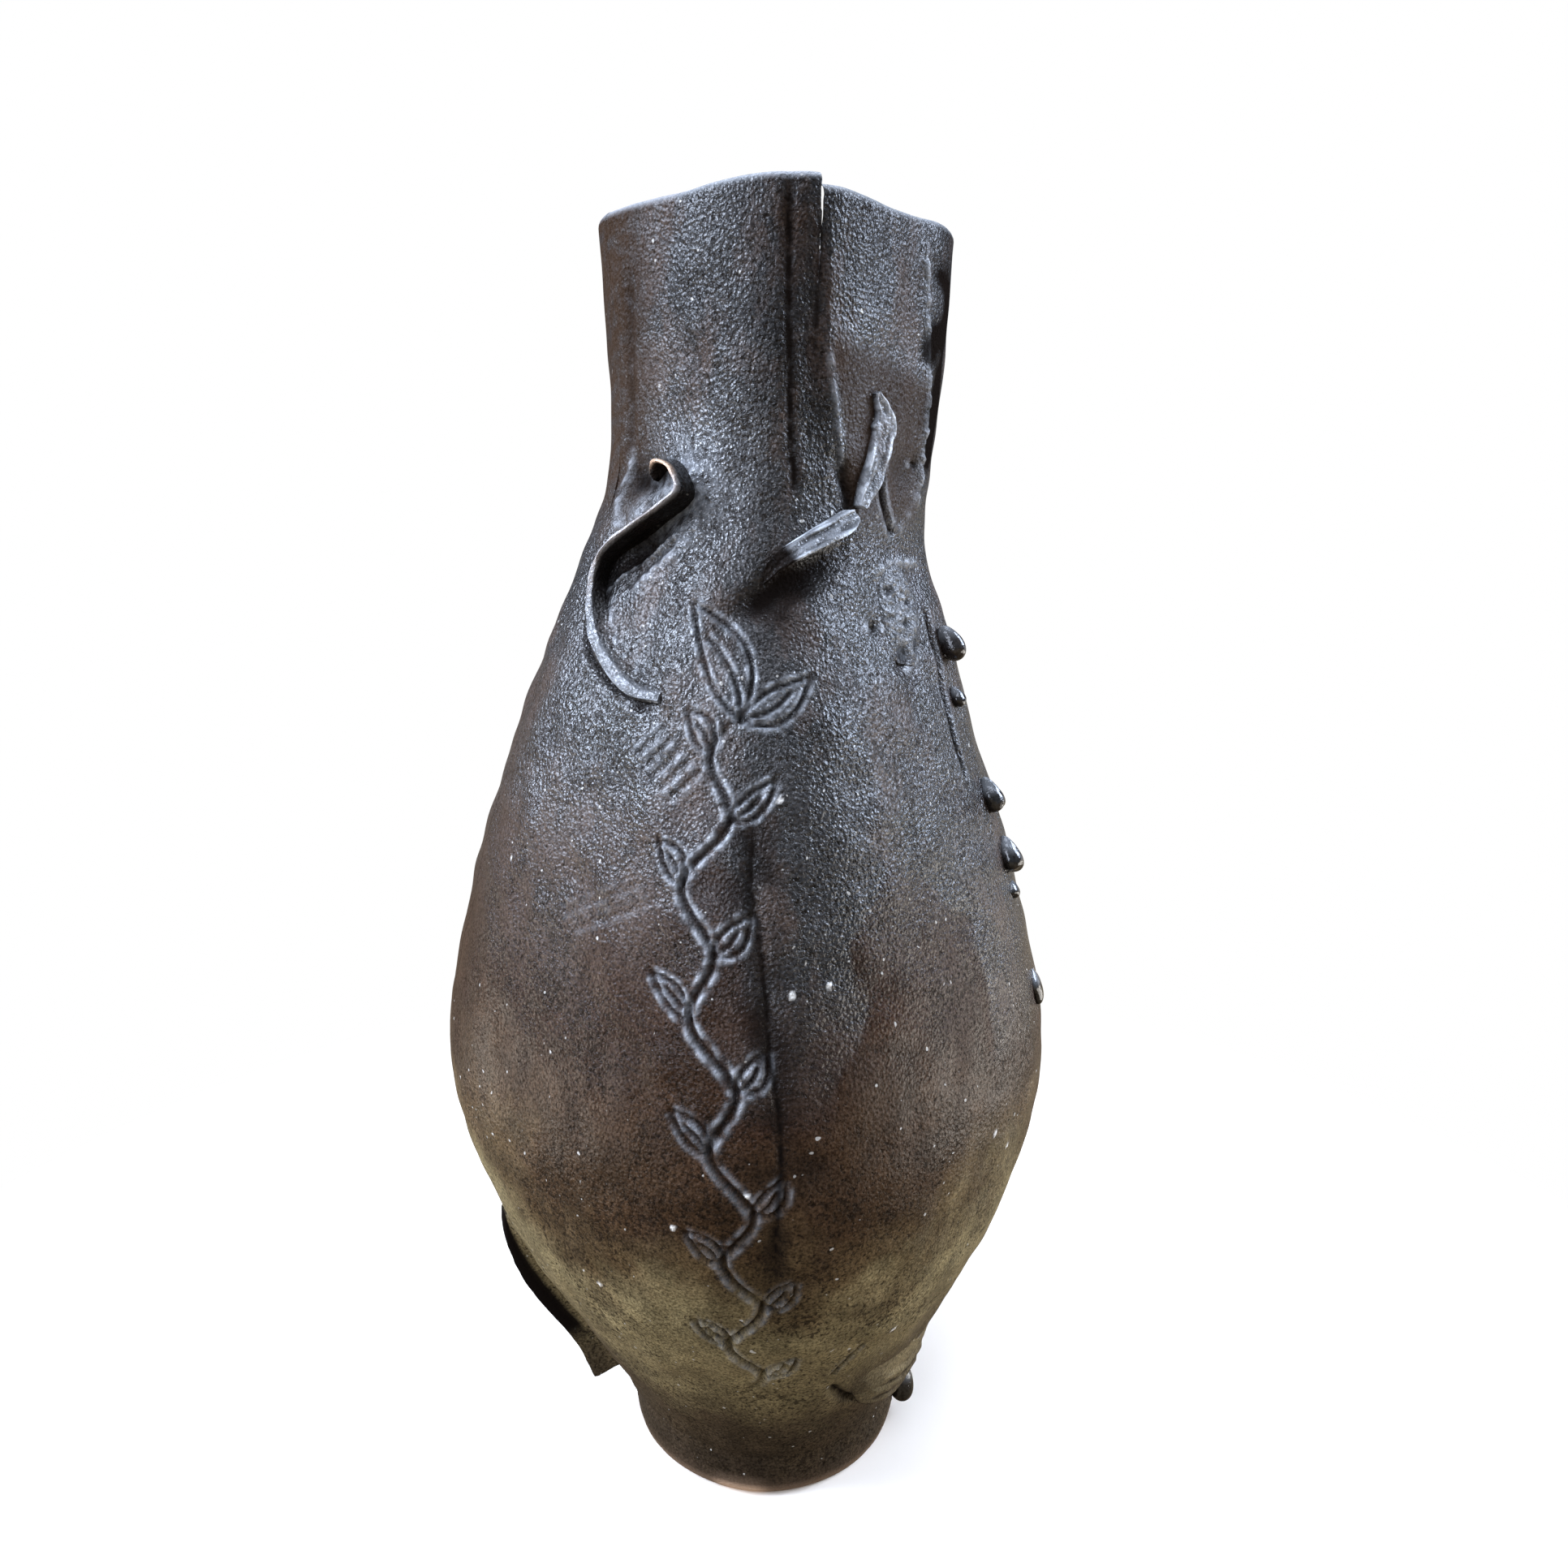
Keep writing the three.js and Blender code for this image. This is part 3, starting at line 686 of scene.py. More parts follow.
# Colours by height: black above, brown in the belly, olive low down. The olive is partly the glaze's own
# colour and partly painted warm light and reflection from below.
iron_look = glazed_stoneware("glazed stoneware, satin iron brown", [
    (0.02, "#2b2219"), (0.09, "#3d3224"), (0.16, "#6f6347"), (0.23, "#73674a"), (0.29, "#4f402b"),
    (0.35, "#38281a"), (0.45, "#2e1e14"), (0.55, "#2a201c"), (0.64, "#262424"), (1.0, "#272627"),
], (0.36, 0.17), 1.0, 0.65, (0.2, 0.65))
# Its olive is partly the glaze's own colour and partly painted warm light and reflection from below.
olive_look = glazed_stoneware("glazed stoneware, satin olive", [
    (0.03, "#2f261b"), (0.08, "#4d4230"), (0.13, "#6f6347"), (1.0, "#776a4d"),
], (0.36, 0.36), 0.8, 0.3, (0.2, 0.65))
black_look = glazed_stoneware("glazed stoneware, glossy pooled black", [
    (0.0, "#0d0b0a"), (1.0, "#121011"),
], (0.04, 0.04), 0.25, 0.0, (0.45, 0.7))


def bare_stoneware_look():
    """Stoneware wiped clean of glaze and fired bare: matt, sandy and warm."""
    made, tree, shader = started("bare stoneware, wiped and fired")
    spot = add(tree, "ShaderNodeTexCoord").outputs["Object"]
    grog = add(tree, "ShaderNodeTexNoise", {"Scale": per_metre(GROG), "Detail": 4}, {"Vector": spot})
    tint = add(tree, "ShaderNodeValToRGB", links={0: grog.outputs["Fac"]}, stops=[
        (0.3, "#8d6f50"), (0.7, "#c4a67f"),
    ])
    tree.links.new(tint.outputs["Color"], shader.inputs["Base Color"])
    bump = add(tree, "ShaderNodeBump", {"Strength": 0.5, "Distance": 0.2 * MM}, {
        "Height": grog.outputs["Fac"],
    })
    tree.links.new(bump.outputs["Normal"], shader.inputs["Normal"])
    shader.inputs["Roughness"].default_value = 0.85
    shader.inputs["IOR"].default_value = 1.5
    return made


LOOKS = {
    "iron_glaze": iron_look, "olive_glaze": olive_look, "black_glaze": black_look,
    "bare_stoneware": bare_stoneware_look(),
}

# The walls: four slabs, each with its outside lapped over the next one's tongue
RIM_ROUND = 1.8
ROUND_STEPS = 5
WALL_BOTTOM = FOOT_HEIGHT - 0.2
SLIT_BOTTOM = 288.0
SLIT_WIDTH = 0.75
SLIT_FULL = 297.0
UNDERLAP = 0.5
DEEPEST = WALL / 2 - 0.25
INNER_COLUMNS = 22
left_rim = smooth_through([(-90, 300), (-60, 299.8), (-35, 299.3), (-10, 299.8), (13, 300)])
right_rim = smooth_through([
    (12, 298.2), (22, 298.3), (45, 297.6), (62, 298),
    (76, 298.7), (95, 298.6), (130, 297.8), (190, 297.8),
])


def lap_edge(seam, height):
    """Where the outside of a seam's left slab ends."""
    if seam == FRONT_SEAM:
        return front_edge(height)
    return seam + degrees_for(LAP, seam, height)


def wall(name, left_seam, right_seam, columns, rows, rim):
    """A slab from seam to seam: worked outside, plain inside, with a tongue on its left and a lap on its
    right."""
    round_angles = np.linspace(0, math.pi / 2, ROUND_STEPS + 1)
    shoulder = LEFT_RIM - RIM_ROUND
    rows = rows[rows < shoulder - 0.5]
    up = np.append(rows, np.full(ROUND_STEPS + 1, shoulder))[:, None]
    lift = np.append(0 * rows, RIM_ROUND * np.sin(round_angles))[:, None]
    inset = np.append(0 * rows, RIM_ROUND * (1 - np.cos(round_angles)))[:, None]
    share = (columns - columns[0]) / (columns[-1] - columns[0])

    def heights(azimuth):
        stretch = (rim(azimuth) - RIM_ROUND - WALL_BOTTOM) / (shoulder - WALL_BOTTOM)
        return WALL_BOTTOM + (up - WALL_BOTTOM) * stretch + lift

    def chain(turn, depth):
        return within(turn, heights(turn), depth)

    level = up + lift
    left_edge = lap_edge(left_seam, level)
    right_edge = lap_edge(right_seam, level)
    tongue = np.full_like(level, left_seam)
    cut = np.zeros_like(level)
    if left_seam == FRONT_SEAM:
        opened = fade(SLIT_BOTTOM, SLIT_FULL, level)
        left_edge = left_edge + degrees_for(SLIT_WIDTH * opened, left_seam, level)
        withdrawn = fade(SLIT_BOTTOM - 1, SLIT_BOTTOM + 1, level)
        cut = degrees_for(1.0, left_seam, level) * withdrawn
        tongue = tongue + (left_edge + 2 * cut - tongue) * withdrawn
    tucked = UNDERLAP * fade(SLIT_BOTTOM + 1, SLIT_BOTTOM - 2, level)
    start = left_edge - degrees_for(tucked, left_seam, level)
    outer_turn = start + (right_edge - start) * share
    outer_height = heights(outer_turn)
    rise, marks = relief(outer_turn, outer_height)
    rise = np.maximum(rise, -DEEPEST) - 0.04 * fade(left_edge + 0.3, left_edge - 0.1, outer_turn)
    # The rounded rim runs pale: thin glaze with a painted highlight.
    marks["thin"] = np.maximum(marks["thin"], 0.5 * fade(0, RIM_ROUND, lift))
    outer = on_wall(outer_turn, outer_height, rise - inset)
    middle = WALL / 2
    lap_faces = [chain(right_edge, middle), chain(np.full_like(level, right_seam), middle)]
    inner_turn = tongue + (right_seam - tongue) * np.linspace(1, 0, INNER_COLUMNS)
    inner = chain(inner_turn, WALL - inset)
    tongue_faces = [chain(tongue, middle), chain(left_edge + cut, middle)]
    sections = np.concatenate([outer, *lap_faces, inner, *tongue_faces], axis=1)
    hidden = np.zeros((sections.shape[0], sections.shape[1] - outer.shape[1]))
    marks = {mark: np.append(values, hidden, axis=1) for mark, values in marks.items()}
    points, faces = through(sections)
    piece(name, "iron_glaze", points, faces, **marks)


wall("front_left_wall", LEFT_SEAM - FULL_TURN, FRONT_SEAM,
     graded([-73, -60, -22, 6], [1.2, 0.5, 0.27]), graded([14, 48, 252, 300], [1.5, 0.6, 1.0]), left_rim)
wall("front_right_wall", FRONT_SEAM, RIGHT_SEAM,
     graded([6, 30, 76], [0.45, 0.75]), graded([14, 300], [0.7]), right_rim)
wall("back_right_wall", RIGHT_SEAM, BACK_SEAM,
     graded([76, 110, 191], [0.8, 1.5]), graded([14, 300], [1.2]), right_rim)
wall("back_left_wall", BACK_SEAM, LEFT_SEAM,
     graded([191, 286], [1.5]), graded([14, 300], [1.5]), lambda turn: np.full_like(turn, LEFT_RIM))

# The foot, the floor and the coils that seal the joints inside
RING_SIDES = 180
FOOT_INSIDE = 30.0
FLOOR_COIL = 4.0
WAIST_COIL = 2.0
COIL_HALF = 4.0
COIL_RISE = 3.0
COIL_END = 9.0


def turned(name, slot, profile, wobble=0.0, **surface):
    """A ring turned round the foot's axis from a closed profile of (radius, height)."""
    turn = np.linspace(0, 2 * math.pi, RING_SIDES, endpoint=False)[:, None]
    radius, height = np.array(profile, float).T
    wavy = wobble * (np.sin(3 * turn + 0.6) + 0.6 * np.sin(7 * turn + 2.0))
    radius = radius + wavy * (radius > FOOT_INSIDE + 1)
    height = np.broadcast_to(height, radius.shape)
    points = np.stack([radius * np.sin(turn), -radius * np.cos(turn), height], -1).reshape(-1, 3)
    here = np.arange(radius.size).reshape(radius.shape)
    ahead = np.roll(here, -1, axis=0)
    sides = np.stack([here, np.roll(here, -1, 1), np.roll(ahead, -1, 1), ahead], -1).reshape(-1, 4)
    piece(name, slot, points, faced_out(points, sides, []), **surface)


foot_profile = [
    (FOOT_RADIUS + 0.5, 14.6), (FOOT_RADIUS + 0.1, 12.5), (FOOT_RADIUS, 10), (FOOT_RADIUS - 0.1, 7),
    (FOOT_RADIUS - 0.4, 4), (FOOT_RADIUS - 0.9, 2), (FOOT_RADIUS - 1.7, 0.6), (FOOT_RADIUS - 2.6, 0),
    (FOOT_INSIDE + 1.5, 0), (FOOT_INSIDE, 0.8), (FOOT_INSIDE, 14.6),
]
foot_turn = np.linspace(0, FULL_TURN, RING_SIDES, endpoint=False)
wiped = 0.25 + 0.75 * fade(14, 5, np.abs(from_front(foot_turn + 10)))
foot_bare = wiped[:, None] * np.array([0, 0, 0, 0, 0.15, 0.8, 1, 1, 1, 1, 0])
turned("foot_ring", "iron_glaze", foot_profile, 0.2, bare=foot_bare)
DISC = FOOT_INSIDE - 0.2
turned("floor_disc", "bare_stoneware", [
    (0.4, FLOOR), (DISC - 0.8, FLOOR), (DISC, FLOOR - 0.8), (DISC, 0.8), (DISC - 0.8, 0.02), (0.4, 0.02),
])
coil_angles = np.linspace(0, math.pi, 9)
turned("floor_coil", "iron_glaze", [
    (DISC - FLOOR_COIL * math.cos(angle / 2), FLOOR + FLOOR_COIL * math.sin(angle / 2))
    for angle in coil_angles
] + [(DISC, FLOOR)])
turned("waist_coil", "iron_glaze", [
    (DISC - WAIST_COIL * math.sin(angle), FOOT_HEIGHT - WAIST_COIL * math.cos(angle))
    for angle in coil_angles
])


def seam_coil(name, seam):
    """A coil pressed along the inside of a seam, with finger dents along it."""
    heights = np.linspace(FOOT_HEIGHT + COIL_END, LEFT_RIM - COIL_END, 120)
    dome = np.linspace(0, math.pi, 11)
    dent = 1 + 0.08 * np.sin(heights / 4.0 + seam)
    from_end = np.minimum(heights - heights[0], heights[-1] - heights)
    ends = np.sqrt(np.clip(from_end / COIL_HALF, 0.02, 1))
    sideways = COIL_HALF * np.cos(dome)[None, :] * np.sqrt(ends)[:, None]
    rise = (COIL_RISE * np.sin(dome)[None, :] * (dent * ends)[:, None]) - 0.5
    height = np.broadcast_to(heights[:, None], sideways.shape)
    azimuth = seam + degrees_for(sideways, seam, height)
    points, faces = through(within(azimuth, height, WALL + 0.6 + rise))
    piece(name, "iron_glaze", points, faces)


for coil_name, coil_seam in (
    ("front_seam_coil", FRONT_SEAM), ("right_seam_coil", RIGHT_SEAM),
    ("back_seam_coil", BACK_SEAM), ("left_seam_coil", LEFT_SEAM),
):
    seam_coil(coil_name, coil_seam)

# The strips: each lies or stands along a route of (azimuth, height) stations, counted from a base
SCROLL_ROUTE = [
    (-49, 20.0), (-42, 21.8), (-31, 20), (-24.2, 15), (-28.5, 11.5), (-39, 7.5), (-50, 3),
    (-55, -1), (-55.2, -7.5), (-50, -14), (-40.2, -20), (-30.8, -24), (-21.5, -25),
]
NECK_STRIP_ROUTE = [(39, 36), (43.5, 30.5), (41, 24), (37.5, 18), (34, 13)]
SHOULDER_STRIP_ROUTE = [(31.5, 11.5), (26, 9.5), (17.8, 6.5), (12, 4), (8, 2), (3, -2)]
PATCH_ROUTE = [(56, 1), (57, -6), (56, -13), (54, -20)]
LEFT_FLAP_ROUTE = [(-71, 57), (-73, 44), (-75, 30), (-77, 18), (-79, 4)]
RIGHT_FLAP_ROUTE = [(72, 15), (56, 16), (40, 21.5), (26, 30)]


def strip(name, slot, route, base, steps, shape, lumpy, wear_and_glint=0.65, dragged=3.5):
    """A strip along a route on the wall. shape gives its section at a share of the route: sideways,
    stand-off, its pooled glaze and painted shade, its thin glaze and painted highlight, and how bare its
    glaze is, each a row of numbers round the section. lumpy is how uneven the clay is, the wear and glint
    number how much the thin glaze and its painted highlight come and go with that, and dragged how much
    longer its lumps are along the strip than across it."""
    line = drawn(route, steps) + np.array([0, base])
    azimuth, height = line.T
    way = np.gradient(line, axis=0)
    across = np.radians(way[:, 0]) * reach(azimuth, height)
    up = way[:, 1] * slant(height)
    length = np.hypot(across, up)
    across, up = across / length, up / length
    share = np.linspace(0, 1, len(line))
    sections = [np.array(np.broadcast_arrays(*shape(place))) for place in share]
    sideways, stand_off, pool, thin, bare = np.stack(sections, 1)
    turn = azimuth[:, None] - degrees_for(sideways * up[:, None], azimuth[:, None], height[:, None])
    level = height[:, None] + sideways * across[:, None] / slant(height)[:, None]
    run = np.broadcast_to(np.cumsum(length)[:, None] / dragged, sideways.shape)
    rough = uneven(np.stack([run, sideways, stand_off], -1), GRIT)
    points, faces = through(on_wall(turn, level, stand_off + lumpy * rough * fade(0, 1, stand_off)))
    thin = thin * (1 - wear_and_glint + wear_and_glint * fade(-0.8, 1, rough))
    piece(name, slot, points, faces, pool=pool, thin=thin, bare=bare)


scroll_rise = smooth_through([
    (0, 1.0), (0.05, 3.2), (0.12, 5.6), (0.19, 6.6), (0.25, 7), (0.42, 7), (0.5, 6.5), (0.58, 5),
    (0.67, 3.2), (0.75, 2.4), (0.92, 1.6), (1, 0.4),
])
scroll_outer_spread = smooth_through([
    (0, 1), (0.28, 1.2), (0.38, 6), (0.55, 6), (0.64, 2), (0.75, 0.5), (1, 0.4),
])
scroll_inner_spread = smooth_through([
    (0, 0.8), (0.2, 0.6), (0.3, -1.6), (0.55, -2), (0.64, 0.5), (0.76, 3.5), (0.92, 3), (1, 0.8),
])
scroll_edge = smooth_through([(0, 0.4), (0.3, 0.5), (0.55, 0.55), (0.68, 1.0), (0.9, 1.2), (1, 0.6)])
SCROLL_SHARES = np.array([0, 0.1, 0.25, 0.42, 0.6, 0.78, 0.92])


def scroll_section(share):
    """A thin fold of clay like a breaking wave: a slope up to its edge on one side, hollow under the
    edge on the other. Lower down it is a lip that slopes the other way."""
    rise = scroll_rise(share)
    away = (1 - SCROLL_SHARES) ** 2
    half = scroll_edge(share)
    outer = -half - scroll_outer_spread(share) * away
    inner = half + scroll_inner_spread(share) * away
    up = rise * SCROLL_SHARES
    side = np.concatenate([[outer[0]], outer, [-half / 2, half / 2], inner[::-1], [inner[0]]])
    stand_off = np.concatenate([[-2], up, [rise, rise], up[::-1], [-2]])
    edge = np.exp(-((rise - stand_off) / 0.5) ** 2)
    curl = fade(0.24, 0.17, share)
    # Painted shade inside the hook and in the hollow under the fold's edge.
    hollow = 0.75 * fade(0.2, 0.28, share) * fade(0.68, 0.58, share)
    outer_face = np.arange(len(side)) < len(side) / 2
    shade = np.where(outer_face, fade(0.3, 0.22, share), hollow) * (edge < 0.3)
    lip = fade(0.55, 0.7, share)
    edge = edge * fade(0.02, 0.07, share)
    # The fold's edge runs pale: thin glaze with a painted highlight.
    thin = edge * (1 - curl) * (0.7 - 0.35 * lip)
    return side, stand_off, shade, thin, edge * (0.18 + 0.72 * curl) * (1 - lip)


SECTION_TURN = np.linspace(0, 2 * math.pi, 64, endpoint=False)
DRAG = 1.5
DRAG_DEPTH = 0.14


def lying_section(width, thickness, lift, tilt=0.0, dish=0.16):
    """A flat strip that lies on the wall: square-edged, dished along its middle, and tilted so that
    one edge stands higher."""
    right, up = np.cos(SECTION_TURN), np.sin(SECTION_TURN)
    side = width / 2 * np.sign(right) * np.abs(right) ** 0.6
    over = np.sign(up) * np.abs(up) ** 0.5
    sunk = dish * np.cos(math.pi * side / width) ** 2 - DRAG_DEPTH * np.cos(2 * math.pi * side / DRAG)
    high = lift + tilt * (side + width / 2) - sunk
    return side, high * (over > 0) + thickness * (0.5 + 0.5 * over) - 0.6 * (over < 0)


def rubbed_and_highlit(side, stand_off, width):
    """The glaze runs thin and pale over a strip's upper edges, with a painted highlight there."""
    return (stand_off > 0.6) * (0.3 + 0.7 * fade(0.24 * width, 0.42 * width, np.abs(side)))


neck_strip_width = smooth_through([
    (0, 1.2), (0.08, 2.4), (0.16, 3.4), (0.25, 5.6), (0.32, 6.4), (0.37, 5.2), (0.5, 5.4),
    (0.8, 4.6), (1, 1.8),
])
shoulder_strip_width = smooth_through([
    (0, 2.2), (0.12, 4.2), (0.5, 4.4), (0.75, 3.8), (0.9, 2.6), (1, 1.0),
])


def neck_strip_section(share):
    """A flat strip that stands a little higher towards its lower end."""
    width = neck_strip_width(share)
    side, stand_off = lying_section(width, 1.2, 0.1 + 1.0 * share, 0.1, 0.5)
    return side, stand_off, 0, rubbed_and_highlit(side, stand_off, width), 0


def shoulder_strip_section(share):
    """A tilted strip whose tail is painted dark with shadow and sinks into the wall."""
    width = shoulder_strip_width(share)
    side, stand_off = lying_section(width, 1.4, 0.3, 0.5 - 0.25 * fade(0.55, 0.8, share), 0.7)
    # Painted shadow on the tail.
    shadowed_tail = fade(0.6, 0.72, share)
    stand_off = stand_off - 3 * fade(0.86, 1, share)
    return side, stand_off, 0.9 * shadowed_tail, (1 - shadowed_tail) * rubbed_and_highlit(side, stand_off, width), 0


def pad(side, top, under, pool, thin):
    """The section of a pad on the wall: along its top, and back along its underside."""
    hidden = np.zeros_like(top)
    return (
        np.append(side, side[::-1]), np.append(top, hidden + under),
        np.append(pool, hidden), np.append(hidden + thin, hidden), 0,
    )


# Each pit's share of the patch's length, its place across it and its size
PATCH_PITS = [
    (0.79, 4.6, 1.5), (0.9, -1.2, 1.8), (0.6, 1.0, 1.0), (0.25, -3.5, 1.0), (0.38, 3.0, 0.9),
]
PATCH_LENGTH = 20.0
PATCH_WIDTH = 16.0


def patch_section(share):
    """A pad of clay smeared on with a thumb: its edges run out into the wall, its middle is pitted."""
    full = math.sin(math.pi * (0.04 + 0.92 * share))
    across = np.linspace(-1, 1, 31)
    side = across * PATCH_WIDTH * math.sqrt(full) / 2
    dome = np.sqrt((1 - across ** 2) * full)
    pit = sum(
        np.exp(-(((share - place) * PATCH_LENGTH) ** 2 + (side - middle) ** 2) / size ** 2)
        for place, middle, size in PATCH_PITS
    )
    # The pits are painted black with shade; the dome's top runs pale with thin glaze and a painted
    # highlight.
    top = 1.5 * dome - 0.4 - 1.2 * np.clip(pit, 0, 1)
    return pad(side, top, -1.4, np.clip(1.6 * pit, 0, 1), 0.22 * dome)


left_flap_rise = smooth_through([(0, 0.4), (0.05, 1.8), (0.15, 4), (0.4, 7.4), (0.8, 8.0), (1, 10.5)])


def left_flap_section(share):
    """The loose edge of a slab, standing out from the wall and thinner towards its lip. Its outer part
    towards the lip is coloured black, fading out near its lower end."""
    rise = left_flap_rise(share)
    heights = np.append(-1.5, rise * np.array([0, 0.15, 0.35, 0.5, 0.65, 0.85, 0.97]))
    front = np.array([3.8, 3.3, 2.4, 1.9, 1.7, 1.6, 1.4, 0.9])
    back = np.array([2.6, 2.0, 1.8, 1.7, 1.6, 1.5, 1.4, 0.9])
    stand_off = np.append(heights, heights[::-1])
    pool = fade(0.3 * rise, 0.52 * rise, stand_off) * fade(0.84, 0.7, share)
    return np.append(-back, front[::-1]), stand_off, pool, 0, 0


right_flap_width = smooth_through([(0, 20), (0.4, 20), (0.75, 16), (0.93, 9), (1, 4)])
FOLD_SPACING = 4.6


def right_flap_section(share):
    """A folded slab end: a broad tongue that grows out of the wall above, with folds running along it
    and a loose edge below."""
    across = np.linspace(0, 1, 31)
    side = (across - 0.5) * right_flap_width(share)
    folds = np.cos(2 * math.pi * side / FOLD_SPACING + 0.8) * fade(0.2, 0.5, across)
    folds = folds * fade(0.85, 0.55, share)
    top = 2.1 * fade(0, 0.75, across) - 0.5 * fade(0.92, 1, across) + 0.3 * folds
    top = top * fade(-0.03, 0.16, share) * (0.25 + 0.75 * fade(1, 0.72, share)) - 0.4
    pool = 0.3 * fade(0.3, 0.7, across) + 0.6 * fade(-0.3, -0.9, folds) + 0.7 * fade(0.95, 1, across)
    return pad(side, top, -1.2, pool, 0)


for strip_settings in (
    ("scroll_ribbon", "iron_glaze", SCROLL_ROUTE, NECK_BASE, 18, scroll_section, 0.1, 0.5),
    ("neck_strip", "iron_glaze", NECK_STRIP_ROUTE, NECK_BASE, 20, neck_strip_section, 0.14, 0.7),
    (
        "shoulder_strip", "iron_glaze", SHOULDER_STRIP_ROUTE, NECK_BASE, 16,
        shoulder_strip_section, 0.16, 0.7,
    ),
    ("shoulder_patch", "iron_glaze", PATCH_ROUTE, NECK_BASE, 24, patch_section, 0.2, 0.65, 1.0),
    ("lower_left_flap", "olive_glaze", LEFT_FLAP_ROUTE, FOOT_HEIGHT, 18, left_flap_section, 0.04),
    ("lower_right_flap", "olive_glaze", RIGHT_FLAP_ROUTE, FOOT_HEIGHT, 24, right_flap_section, 0.08),
):
    strip(*strip_settings)

# The beads: pellets of clay pressed on down the right side, and one beside the foot. Each side bead has
# its azimuth, its drop from the neck's root, half its width and height, and how far it stands out.
SIDE_BEADS = [
    (79, 17.2, 2.2, 4.4, 4.7), (76.5, 29, 2.0, 2.4, 2.6), (78, 52.5, 2.6, 4.2, 4.4),
    (78.5, 67, 2.6, 4.4, 4.6), (78, 75, 2.0, 2.2, 2.4), (80, 100, 2.8, 4.6, 2.4),
]
FOOT_BEAD_AZIMUTH = 78.0
FOOT_BEAD_HEIGHT = 10.5
BEAD_SIDES = 40
BEAD_RINGS = 16
BEAD_ROOT = 38.0
BEAD_TOP = 87.0


def bead(name, half_wide, half_tall, rise, place, seed):
    """A pressed pellet that sagged as its glaze ran: narrower at its root than at its waist, and fuller
    below than above. place puts its points on the wall or foot."""
    around = np.linspace(0, 2 * math.pi, BEAD_SIDES, endpoint=False)
    climb = np.radians(np.linspace(-BEAD_ROOT, BEAD_TOP, BEAD_RINGS))[:, None]
    lumpy = 1 + 0.08 * np.sin(3 * around + seed) + 0.06 * np.sin(5 * around + 2 * seed) * np.cos(climb)
    sag = 1 - 0.28 * np.sin(around) * np.cos(climb)
    right = half_wide * np.cos(climb) * np.cos(around) * lumpy * sag
    up = half_tall * np.cos(climb) * np.sin(around) * lumpy
    root = math.sin(math.radians(BEAD_ROOT))
    out = rise * sag * (np.sin(climb) + root) / (1 + root) - 0.7
    points, faces = through(place(right, up, out))
    # The upper side runs pale: thin glaze with a painted highlight.
    thin = 0.3 * fade(-0.1, 0.8, np.sin(around)) * np.cos(climb)
    piece(name, "black_glaze", points, faces, thin=thin)


def beside(azimuth, level):
    """Puts a bead's points on the wall round its middle."""
    def place(right, up, off):
        turn = azimuth + degrees_for(right, azimuth, level)
        return on_wall(turn, level + up / slant(level), off + swelling(azimuth, level))

    return place


def on_foot(right, up, off):
    """Puts the foot bead's points on the foot ring."""
    turn = math.radians(FOOT_BEAD_AZIMUTH) + right / FOOT_RADIUS
    radius = FOOT_RADIUS + off
    return np.stack([radius * np.sin(turn), -radius * np.cos(turn), FOOT_BEAD_HEIGHT + up], -1)


for number, (azimuth, drop, wide, tall, out) in enumerate(SIDE_BEADS, 1):
    bead(f"side_bead_{number}", wide, tall, out, beside(azimuth, NECK_BASE - drop), number)
bead("foot_bead", 3.2, 6.4, 5.4, on_foot, 7)

# The pale floor that it stands on, and the light
SWEEP_NEAR = 0.05
SWEEP_FAR = 0.3
SWEEP_SIZE = 4.0


def white_sweep():
    """A sheet of matt white card that runs out into the white of the room. The glaze mirrors the
    dim bench of the room's light in its place."""
    made, tree, shader = started("card, matt white")
    spot = add(tree, "ShaderNodeTexCoord").outputs["Object"]
    fibre = add(tree, "ShaderNodeTexNoise", {"Scale": per_metre(FIBRE), "Detail": 3}, {"Vector": spot})
    tint = add(tree, "ShaderNodeValToRGB", links={0: fibre.outputs["Fac"]}, stops=[
        (0.3, "#f4e9da"), (0.7, "#f7eddf"),
    ])
    tree.links.new(tint.outputs["Color"], shader.inputs["Base Color"])
    shader.inputs["Roughness"].default_value = 0.9
    away = add(tree, "ShaderNodeVectorMath", links={0: spot}, operation="LENGTH")
    share = add(tree, "ShaderNodeMapRange", {"From Min": SWEEP_NEAR, "From Max": SWEEP_FAR}, {
        "Value": away.outputs["Value"],
    })
    glow = add(tree, "ShaderNodeEmission", {"Color": from_hex("#ffffff")})
    seen = add(tree, "ShaderNodeMixShader", links={
        0: share.outputs[0], 1: shader.outputs[0], 2: glow.outputs[0],
    })
    tree.links.new(seen.outputs[0], tree.nodes["Material Output"].inputs["Surface"])
    mesh = bpy.data.meshes.new("floor")
    corners = [(-1, -1), (1, -1), (1, 1), (-1, 1)]
    mesh.from_pydata([(x * SWEEP_SIZE, y * SWEEP_SIZE, 0) for x, y in corners], [], [(0, 1, 2, 3)])
    mesh.materials.append(made)
    floor = bpy.data.objects.new("floor", mesh)
    bpy.context.scene.collection.objects.link(floor)
    floor.visible_diffuse = False
    floor.visible_glossy = False
    floor.visible_shadow = False


white_sweep()


LIT_HEIGHT = 0.17


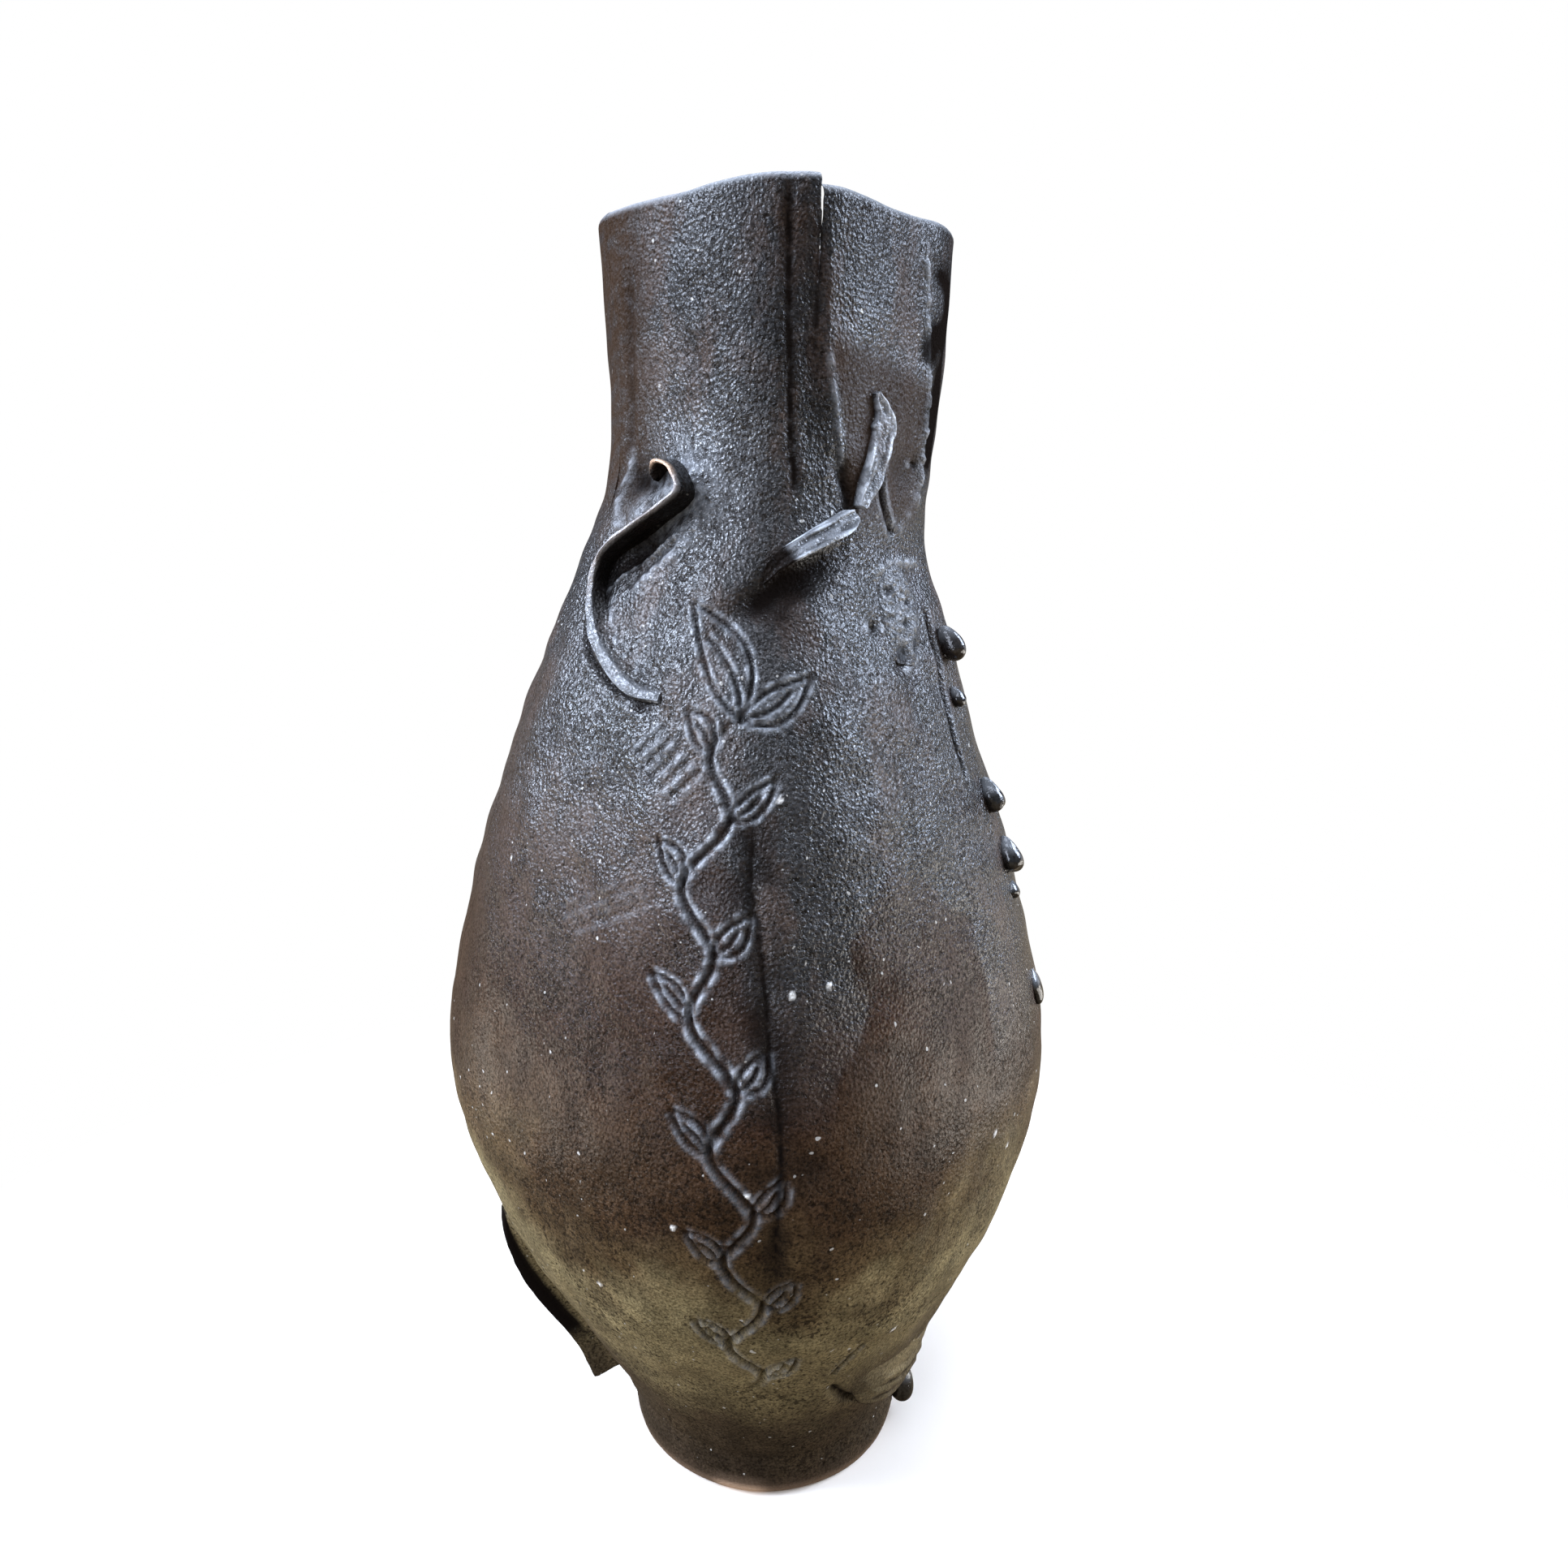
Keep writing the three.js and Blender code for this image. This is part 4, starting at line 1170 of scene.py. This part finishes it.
def soft_box(name, turn, rise, distance, width, height, brightness, tint):
    """A soft studio light that faces the vase's middle. turn and rise are its direction in degrees."""
    turn, rise = math.radians(turn), math.radians(rise)
    level = math.cos(rise) * distance
    place = (level * math.sin(turn), -level * math.cos(turn), LIT_HEIGHT + distance * math.sin(rise))
    lamp = bpy.data.lights.new(name, "AREA")
    lamp.shape = "RECTANGLE"
    lamp.size = width
    lamp.size_y = height
    lamp.energy = brightness * math.pi * width * height
    lamp.color = from_hex(tint)[:3]
    made = bpy.data.objects.new(name, lamp)
    made.location = place
    made.rotation_euler = (math.pi / 2 - rise, 0, turn)
    made.visible_camera = False
    bpy.context.scene.collection.objects.link(made)


for light in (
    ("left_panel", -82, 32, 1.1, 0.5, 0.6, 27.5, "#dbe8ff"),
    ("left_low", -84, -18, 1.1, 1.0, 0.4, 4.3, "#f4f0ea"),
    ("left_rear", -114, 8, 1.1, 0.5, 0.4, 0.5, "#dfe8f6"),
    ("left_fill", -36, 15, 1.1, 0.5, 0.5, 7.0, "#e2ebff"),
    ("right_panel", 95, 30, 1.1, 0.5, 0.6, 20.0, "#d8e6ff"),
    ("right_low", 90, -18, 1.1, 1.0, 0.4, 5.5, "#f4f0ea"),
    ("right_rear", 113, 3, 1.1, 0.5, 0.35, 1.2, "#dfe8f6"),
    ("front_top", 0, 66, 1.2, 0.8, 0.4, 5.0, "#e2ebff"),
    ("rear_top", 180, 68, 1.2, 1.2, 0.9, 3.0, "#e6eeff"),
):
    soft_box(*light)


def room():
    """A dim warm bench below and a dim cool room above for the glaze to mirror, white to the eye."""
    world = bpy.data.worlds.new("pale room")
    bpy.context.scene.world = world
    world.use_nodes = True
    tree = world.node_tree
    dim = tree.nodes["Background"]
    way = add(tree, "ShaderNodeTexCoord").outputs["Generated"]
    up = add(tree, "ShaderNodeSeparateXYZ", links={0: way}).outputs["Z"]
    half = add(tree, "ShaderNodeMath", {1: 0.5, 2: 0.5}, {0: up}, operation="MULTIPLY_ADD")
    tone = add(tree, "ShaderNodeValToRGB", links={0: half.outputs[0]}, stops=[
        (0.0, "#6b5f50"), (0.07, "#7a6c5b"), (0.15, "#998b77"), (0.35, "#b3a692"),
        (0.49, "#b0aaa2"), (0.55, "#9aa2ad"), (1.0, "#c4ccd6"),
    ])
    tree.links.new(tone.outputs["Color"], dim.inputs["Color"])
    back = add(tree, "ShaderNodeSeparateXYZ", links={0: way}).outputs["Y"]
    depth = add(tree, "ShaderNodeMapRange", {
        "From Min": -0.2, "From Max": 0.7, "To Min": 1.0, "To Max": 0.25,
    }, {"Value": back})
    above = add(tree, "ShaderNodeMapRange", {"From Min": -0.02, "From Max": 0.12}, {"Value": up})
    strength = add(tree, "ShaderNodeMix", {2: 1.0}, {
        0: above.outputs[0], 3: depth.outputs[0],
    }, data_type="FLOAT")
    tree.links.new(strength.outputs[0], dim.inputs["Strength"])
    bright = add(tree, "ShaderNodeBackground", {"Color": from_hex("#ffffff")})
    ray = add(tree, "ShaderNodeLightPath")
    seen = add(tree, "ShaderNodeMixShader", links={
        0: ray.outputs["Is Camera Ray"], 1: dim.outputs[0], 2: bright.outputs[0],
    })
    tree.links.new(seen.outputs[0], tree.nodes["World Output"].inputs["Surface"])


room()

# The camera, close in front and a little above the neck's root, looking down
CAMERA_PLACE = (0.00393, -0.262, 0.23134)
CAMERA_DIP = 12.388
CAMERA_TURN = -0.233
lens = bpy.data.cameras.new("camera")
lens.sensor_width = 36
lens.lens = 25
lens.clip_start = 0.01
camera = bpy.data.objects.new("camera", lens)
camera.location = CAMERA_PLACE
camera.rotation_euler = (math.radians(90 - CAMERA_DIP), 0, math.radians(CAMERA_TURN))
bpy.context.scene.collection.objects.link(camera)
bpy.context.scene.camera = camera
bpy.context.scene.view_settings.view_transform = "Standard"
